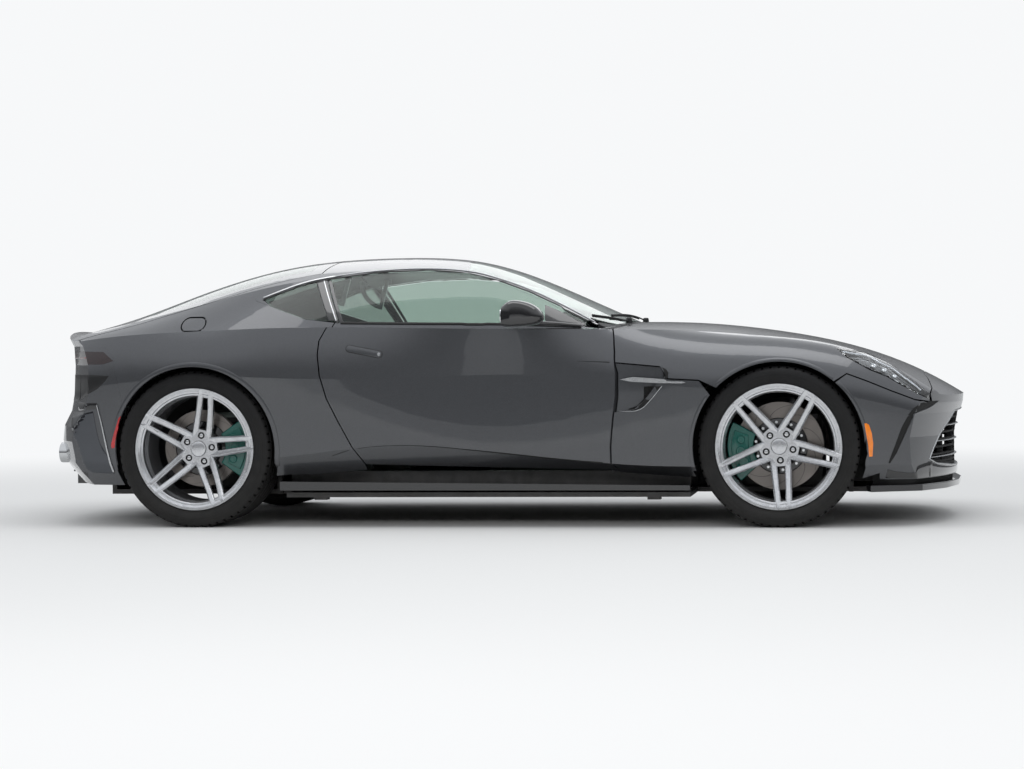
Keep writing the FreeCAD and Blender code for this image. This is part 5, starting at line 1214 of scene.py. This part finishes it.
    def markers(self):
        """Amber lens ahead of the front wheel and red lens behind the rear one."""
        outline_patch("front_marker", [(1.7342, 0.4649), (1.7414, 0.4673), (1.7544, 0.4599), (1.7666, 0.4209),
                                       (1.7720, 0.3771), (1.7690, 0.3187), (1.7542, 0.3163), (1.7498, 0.3674),
                                       (1.7420, 0.4162)], "amber", "body", 0.004, 0.0035)
        outline_patch("rear_marker", [(-1.716, 0.512), (-1.706, 0.520), (-1.700, 0.508), (-1.718, 0.455),
                                      (-1.737, 0.405), (-1.742, 0.372), (-1.757, 0.370), (-1.760, 0.385),
                                      (-1.748, 0.425), (-1.730, 0.475)], "red", "body", 0.004, 0.0035)

    def arches(self):
        """Rolled lip round each wheel opening, which ends where its own panel ends."""
        opening = 0.386
        for name, middle, width, low, high, body in (
                ("front_arch_fore", FRONT_AXLE, 0.014, -14, 47, "body"),
                ("front_arch_top", FRONT_AXLE, 0.014, 51, 134, "bonnet"),
                ("front_arch_aft", FRONT_AXLE, 0.014, 143, 193, "body"),
                ("rear_arch", REAR_AXLE, 0.020, -14, 194, "body")):
            reach = opening + width / 2
            count = max(int((high - low) / 3), 8)
            angles = [math.radians(low + (high - low) * step / count) for step in range(count + 1)]
            line = [(middle.x - SHIFT + reach * math.cos(angle), middle.z + reach * math.sin(angle))
                    for angle in angles]
            ribbon(name + "_lip", line, width, 0.004, "paint", body, 0.0010, count + 1)

    def wipers(self):
        """Two arms and blades that lie at the foot of the screen."""
        skin = ["windscreen", "cowl", "bonnet", "roof_frame"]
        for index, (hub, tip) in enumerate((((0.648, 0.20), (0.545, -0.44)), ((0.628, -0.40), (0.480, -0.66)))):
            line = []
            for part in [step / 13 for step in range(14)]:
                x = hub[0] + (tip[0] - hub[0]) * part ** 1.3
                y = hub[1] + (tip[1] - hub[1]) * part
                line.append(on_top(x, y, skin, 0.012 + 0.006 * math.sin(part * math.pi))[0])
            arm = swept(line, 0.0055, steps=8, squeeze=0.6)
            join(arm, swept([point - Vector((0, 0, 0.006)) for point in line[4:]], 0.0040, steps=8))
            base = lathe([(-0.012, 0.0), (-0.012, 0.016), (0.010, 0.014), (0.014, 0.010), (0.015, 0.0)], 24)
            turn = Matrix.Translation(line[0]) @ Matrix.Rotation(math.pi / 2, 4, "X")
            bmesh.ops.transform(base, matrix=turn, verts=base.verts)
            join(arm, base)
            mesh_object("wiper_%d" % (index + 1), arm, "black_plastic", "body")

    def lower_body(self):
        """Painted shadow: a dark line along the sill crease, where the body turns under."""
        crease = [(-0.700, 0.330), (-0.591, 0.362), (-0.418, 0.377), (-0.203, 0.371), (0.117, 0.338), (0.434, 0.306),
                  (0.560, 0.295)]
        # Painted shadow: a dark strip, wider towards the front, stands in for the shade under the crease's step.
        ribbon("sill_crease_painted_shadow", crease, 0.0045, 0.0015, "well", self.DOORS, 0.0004, 60, (0.4, 1.4),
               ["door_left", "door_right", "rear_quarters"])


class COUPE_OT_cabin(bpy.types.Operator):
    """Padded seats, dashboard details and steering wheel leather."""

    bl_idname = "coupe.cabin"
    bl_label = "Cabin"

    # Stations along the seat's middle: x, z, half width, depth
    CUSHION = [(-0.430, 0.300, 0.200, 0.045), (-0.400, 0.292, 0.222, 0.070), (-0.330, 0.300, 0.228, 0.080),
               (-0.220, 0.318, 0.230, 0.078), (-0.110, 0.336, 0.230, 0.070), (-0.030, 0.340, 0.222, 0.050),
               (-0.004, 0.330, 0.200, 0.030)]
    BACKREST = [(-0.520, 0.330, 0.190, 0.030), (-0.530, 0.390, 0.220, 0.055), (-0.560, 0.500, 0.234, 0.075),
                (-0.592, 0.620, 0.238, 0.080), (-0.622, 0.730, 0.225, 0.070), (-0.640, 0.800, 0.170, 0.045),
                (-0.645, 0.835, 0.110, 0.036), (-0.648, 0.880, 0.112, 0.040), (-0.652, 0.925, 0.100, 0.036),
                (-0.654, 0.940, 0.070, 0.022)]
    SEAM = 0.142  # from the seat's middle to the seam beside the sewn panel
    CHANNELS = {"seat_cushion_left": (0, (-0.340 + SHIFT, -0.250 + SHIFT, -0.160 + SHIFT, -0.070 + SHIFT)),
                "seat_backrest_left": (2, (0.420, 0.505, 0.590, 0.675, 0.760))}

    def execute(self, context):
        for name, stations, along in (("seat_cushion", self.CUSHION, Vector((0.10, 0, 1))),
                                      ("seat_backrest", self.BACKREST, Vector((1, 0, 0.30)))):
            left = self.pad(name + "_left", stations, along.normalized())
            bm = bmesh.new()
            bm.from_mesh(left.data)
            bmesh.ops.scale(bm, verts=bm.verts, vec=(1, -1, 1))
            bmesh.ops.reverse_faces(bm, faces=bm.faces)
            right = mesh_object(name + "_right", bm, "hide", "body")
        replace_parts(bpy.data.objects["seat_backrest_left"], "seats")
        self.shells()
        self.dashboard()
        return {"FINISHED"}

    def pad(self, name, stations, face_way):
        """One cushion: rings across the seat, raised at both sides, blown up over pinned seams."""
        middle = settings().seat_centre
        count = 40
        bm = bmesh.new()
        rings = []
        for x, z, half, deep in stations:
            ring = []
            for angle in [math.tau * step / count for step in range(count)]:
                across, out = math.cos(angle), math.sin(angle)
                width = math.copysign(abs(across) ** 0.55, across) * half
                lift = math.copysign(abs(out) ** 0.6, out) * deep * 0.5
                if out > 0:
                    lift += deep * 0.55 * max(abs(width) / half - 0.62, 0) / 0.38 * (1 if half > 0.18 else 0.2)
                ring.append(Vector((x + SHIFT, middle + width, z)) + face_way * lift)
            rings.append(ring_of(bm, ring))
        bridged(bm, rings, capped=True)
        obj = mesh_object(name, bm, "hide", "body")
        smooth = obj.modifiers.new("smooth", "SUBSURF")
        smooth.levels = smooth.render_levels = 2
        return self.inflated(obj, middle)

    def inflated(self, obj, middle):
        """Blows the pad up a little with a cloth simulation, held along its seams."""
        scene = bpy.context.scene
        remesh = obj.modifiers.new("remesh", "REMESH")
        remesh.mode = "VOXEL"
        remesh.voxel_size = 0.006
        remesh.use_smooth_shade = True
        self.apply_all(obj)
        rest = [vert.co.copy() for vert in obj.data.vertices]
        sewn = [vert.index for vert in obj.data.vertices if self.seam_gap(obj.name, vert.co, middle) < 0.006]
        obj.vertex_groups.new(name="seam").add(sewn, 1.0, "REPLACE")
        cloth = obj.modifiers.new("cloth", "CLOTH")
        cloth.settings.vertex_group_mass = "seam"
        cloth.settings.use_pressure = True
        cloth.settings.uniform_pressure_force = 4.0
        cloth.settings.effector_weights.gravity = 0.0
        cloth.settings.quality = 4
        cloth.settings.tension_stiffness = 12
        cloth.settings.compression_stiffness = 12
        cloth.collision_settings.use_collision = False
        cloth.point_cache.frame_start = 1
        cloth.point_cache.frame_end = 20
        for step in range(1, 21):
            scene.frame_set(step)
        self.apply_all(obj)
        obj.vertex_groups.clear()
        scene.frame_set(1)
        most = settings().pad_rise
        for vert, start in zip(obj.data.vertices, rest):
            move = vert.co - start
            if move.length > most:
                vert.co = start + move.normalized() * most
        bm = bmesh.new()
        bm.from_mesh(obj.data)
        bm.verts.ensure_lookup_table()
        bm.normal_update()
        for index in sewn:
            bm.verts[index].co -= bm.verts[index].normal * 0.0035
        bmesh.ops.smooth_vert(bm, verts=bm.verts, factor=0.3, use_axis_x=True, use_axis_y=True, use_axis_z=True)
        bm.to_mesh(obj.data)
        bm.free()
        return obj

    def seam_gap(self, name, spot, middle):
        """Distance to the nearest seam, or sewn channel across the pad's middle panel."""
        inside = self.SEAM - abs(spot.y - middle)
        if inside < 0:
            return -inside
        axis, lines = self.CHANNELS[name]
        return min(inside, *(abs(spot[axis] - line) for line in lines))

    def apply_all(self, obj):
        """Turns the shape that the modifiers give into the object's own mesh."""
        bpy.context.view_layer.update()
        graph = bpy.context.evaluated_depsgraph_get()
        mesh = bpy.data.meshes.new_from_object(obj.evaluated_get(graph))
        obj.modifiers.clear()
        old = obj.data
        obj.data = mesh
        bpy.data.meshes.remove(old)

    def shells(self):
        """Plastic seat bases and the shells behind the backrests."""
        bm = bmesh.new()
        for side in (-1, 1):
            middle = side * settings().seat_centre
            block(bm, (0.42, 0.36, 0.10), (-0.235 + SHIFT, middle, 0.205), 0.02, 3)
            block(bm, (0.03, 0.40, 0.44), (-0.655 + SHIFT, middle, 0.575), 0.012, 3,
                  Matrix.Rotation(math.radians(-17), 4, "Y"))
            block(bm, (0.022, 0.10, 0.12), (-0.672 + SHIFT, middle, 0.85), 0.009, 3,
                  Matrix.Rotation(math.radians(-8), 4, "Y"))
        mesh_object("seat_shells", bm, "black_plastic", "body", 35.0)

    def dashboard(self):
        """Instrument hood, screen, console with its lever, and the outer air outlets."""
        bm = bmesh.new()
        middle = settings().seat_centre
        block(bm, (0.10, 0.34, 0.075), (0.215 + SHIFT, middle, 0.905), 0.018, 3,
              Matrix.Rotation(math.radians(12), 4, "Y"))
        block(bm, (0.012, 0.27, 0.095), (0.140 + SHIFT, 0.0, 0.845), 0.005, 3)
        block(bm, (0.62, 0.17, 0.20), (-0.130 + SHIFT, 0.0, 0.345), 0.03, 3)
        block(bm, (0.03, 0.035, 0.06), (-0.030 + SHIFT, 0.0, 0.470), 0.010, 3)
        for side in (-1, 1):
            for offset in (0.56, 0.64):
                block(bm, (0.010, 0.075, 0.045), (0.135 + SHIFT, side * offset, 0.800), 0.004, 2)
        mesh_object("cabin_fittings", bm, "black_plastic", "body", 35.0)
        softened("steering_wheel", 0.003, "hide", 2, 35.0)
        softened("dashboard", 0.012, "black_plastic", 3, 30.0)


BACKDROP = (0.93, 0.94, 0.95, 1)


class COUPE_OT_stage(bpy.types.Operator):
    """Pale floor, soft lights and the camera at the photograph's angle."""

    bl_idname = "coupe.stage"
    bl_label = "Stage"

    def execute(self, context):
        self.add_camera(context)
        self.add_floor(context)
        self.add_lights(context)
        context.scene.view_settings.view_transform = "Standard"
        return {"FINISHED"}

    def add_camera(self, context):
        """Camera at the photograph's place, turn and focal length."""
        yaw, pitch, roll = -0.1562, -0.0121, -0.0105
        forward = Vector((math.sin(yaw) * math.cos(pitch), math.cos(yaw) * math.cos(pitch), math.sin(pitch)))
        level = Vector((math.cos(yaw), -math.sin(yaw), 0))
        upward = level.cross(forward)
        right = level * math.cos(roll) + upward * math.sin(roll)
        top = -level * math.sin(roll) + upward * math.cos(roll)
        data = bpy.data.cameras.new("photo_camera")
        data.sensor_width = 36.0
        data.lens = 83.88
        data.clip_end = 200.0
        camera = bpy.data.objects.new("photo_camera", data)
        context.scene.collection.objects.link(camera)
        camera.matrix_world = Matrix((
            (right.x, top.x, -forward.x, 1.839 + SHIFT),
            (right.y, top.y, -forward.y, -11.686),
            (right.z, top.z, -forward.z, 0.785),
            (0, 0, 0, 1)))
        context.scene.camera = camera

    def add_floor(self, context):
        bm = bmesh.new()
        bmesh.ops.create_grid(bm, x_segments=8, y_segments=8, size=40.0)
        mesh = bpy.data.meshes.new("studio_floor")
        bm.to_mesh(mesh)
        bm.free()
        floor = bpy.data.objects.new("studio_floor", mesh)
        context.scene.collection.objects.link(floor)
        made = Finish("pale_floor", (0.72, 0.72, 0.71), 0.75)
        made.grained(3.0, 0.03, 0.02, 0.001)
        self.fade_out(made.material.node_tree)
        floor.data.materials.append(made.material)

    def fade_out(self, tree):
        """Lets the floor pass into the white backdrop with its distance from the car, in metres."""
        output = next(node for node in tree.nodes if node.type == "OUTPUT_MATERIAL")
        shader = output.inputs["Surface"].links[0].from_node
        wire(tree, [
            ("place", "TexCoord", {}, {}),
            ("away", "VectorMath", {"operation": "LENGTH"}, {}),
            ("ramp", "MapRange", {"interpolation_type": "SMOOTHSTEP"}, {"From Min": 3.0, "From Max": 9.0}),
            ("rays", "LightPath", {}, {}),
            ("seen", "Math", {"operation": "MAXIMUM"}, {}),
            ("share", "Math", {"operation": "MULTIPLY"}, {}),
            ("glow", "Emission", {}, {"Color": BACKDROP}),
            ("mix", "MixShader", {}, {})],
            [("place", "Object", "away", 0), ("away", "Value", "ramp", "Value"),
             ("rays", "Is Camera Ray", "seen", 0), ("rays", "Is Transmission Ray", "seen", 1),
             ("ramp", "Result", "share", 0), ("seen", 0, "share", 1), ("share", 0, "mix", "Fac"),
             ("shader", 0, "mix", 1), ("glow", 0, "mix", 2), ("mix", 0, "output", "Surface")],
            {"shader": shader, "output": output})

    def add_lights(self, context):
        """World that darkens towards the horizon behind a plain backdrop, and three area lights."""
        world = bpy.data.worlds.new("studio")
        context.scene.world = world
        world.use_nodes = True
        nodes = world.node_tree.nodes
        nodes["Background"].inputs["Color"].default_value = (0.80, 0.82, 0.85, 1)
        wire(world.node_tree, [
            ("sky", "TexCoord", {}, {}),
            ("split", "SeparateXYZ", {}, {}),
            ("height", "MapRange", {"interpolation_type": "SMOOTHSTEP"},
             {"From Min": 0.02, "From Max": 0.55, "To Min": 0.16, "To Max": 1.05}),
            ("shown", "Background", {}, {"Color": BACKDROP, "Strength": 1.0}),
            ("rays", "LightPath", {}, {}),
            ("seen", "Math", {"operation": "MAXIMUM"}, {}),
            ("mix", "MixShader", {}, {})],
            [("sky", "Generated", "split", 0), ("split", "Z", "height", "Value"),
             ("height", "Result", "light", "Strength"), ("rays", "Is Camera Ray", "seen", 0),
             ("rays", "Is Transmission Ray", "seen", 1), ("seen", 0, "mix", "Fac"), ("light", 0, "mix", 1),
             ("shown", 0, "mix", 2), ("mix", 0, "output", "Surface")],
            {"light": nodes["Background"], "output": nodes["World Output"]})
        for name, place, turn, width, depth, power in (
                ("overhead_softbox", (0.3, -0.8, 5.2), (0.12, 0, 0), 6.5, 2.4, 95),
                ("front_fill", (0.6, -9.5, 3.4), (1.25, 0, 0.0), 9.0, 1.5, 260),
                ("far_edge", (-1.0, 6.0, 3.6), (-1.05, 0, 0), 8.0, 2.0, 45)):
            data = bpy.data.lights.new(name, "AREA")
            data.shape = "RECTANGLE"
            data.size = width
            data.size_y = depth
            data.energy = power
            lamp = bpy.data.objects.new(name, data)
            lamp.location = place
            lamp.rotation_euler = turn
            lamp.visible_glossy = name != "front_fill"
            context.scene.collection.objects.link(lamp)


class COUPE_PT_panel(bpy.types.Panel):
    """Lists the pieces of the coupe."""

    bl_idname = "COUPE_PT_panel"
    bl_label = "Coupe"
    bl_space_type = "VIEW_3D"
    bl_region_type = "UI"
    bl_category = "Coupe"

    def draw(self, context):
        for operator in OPERATORS:
            self.layout.operator(operator.bl_idname)
        for name in CoupeSettings.__annotations__:
            self.layout.prop(context.scene.coupe_settings, name)


OPERATORS = [COUPE_OT_panels, COUPE_OT_wheels, COUPE_OT_lamps, COUPE_OT_nose, COUPE_OT_tail, COUPE_OT_trim,
             COUPE_OT_cabin, COUPE_OT_stage]
CLASSES = [CoupeSettings, *OPERATORS, COUPE_PT_panel]


def register():
    for item in CLASSES:
        bpy.utils.register_class(item)
    bpy.types.Scene.coupe_settings = bpy.props.PointerProperty(type=CoupeSettings)


def unregister():
    del bpy.types.Scene.coupe_settings
    for item in reversed(CLASSES):
        bpy.utils.unregister_class(item)


def main():
    register()
    for operator in OPERATORS:
        group, call = operator.bl_idname.split(".")
        getattr(getattr(bpy.ops, group), call)()


if __name__ == "__main__":
    main()
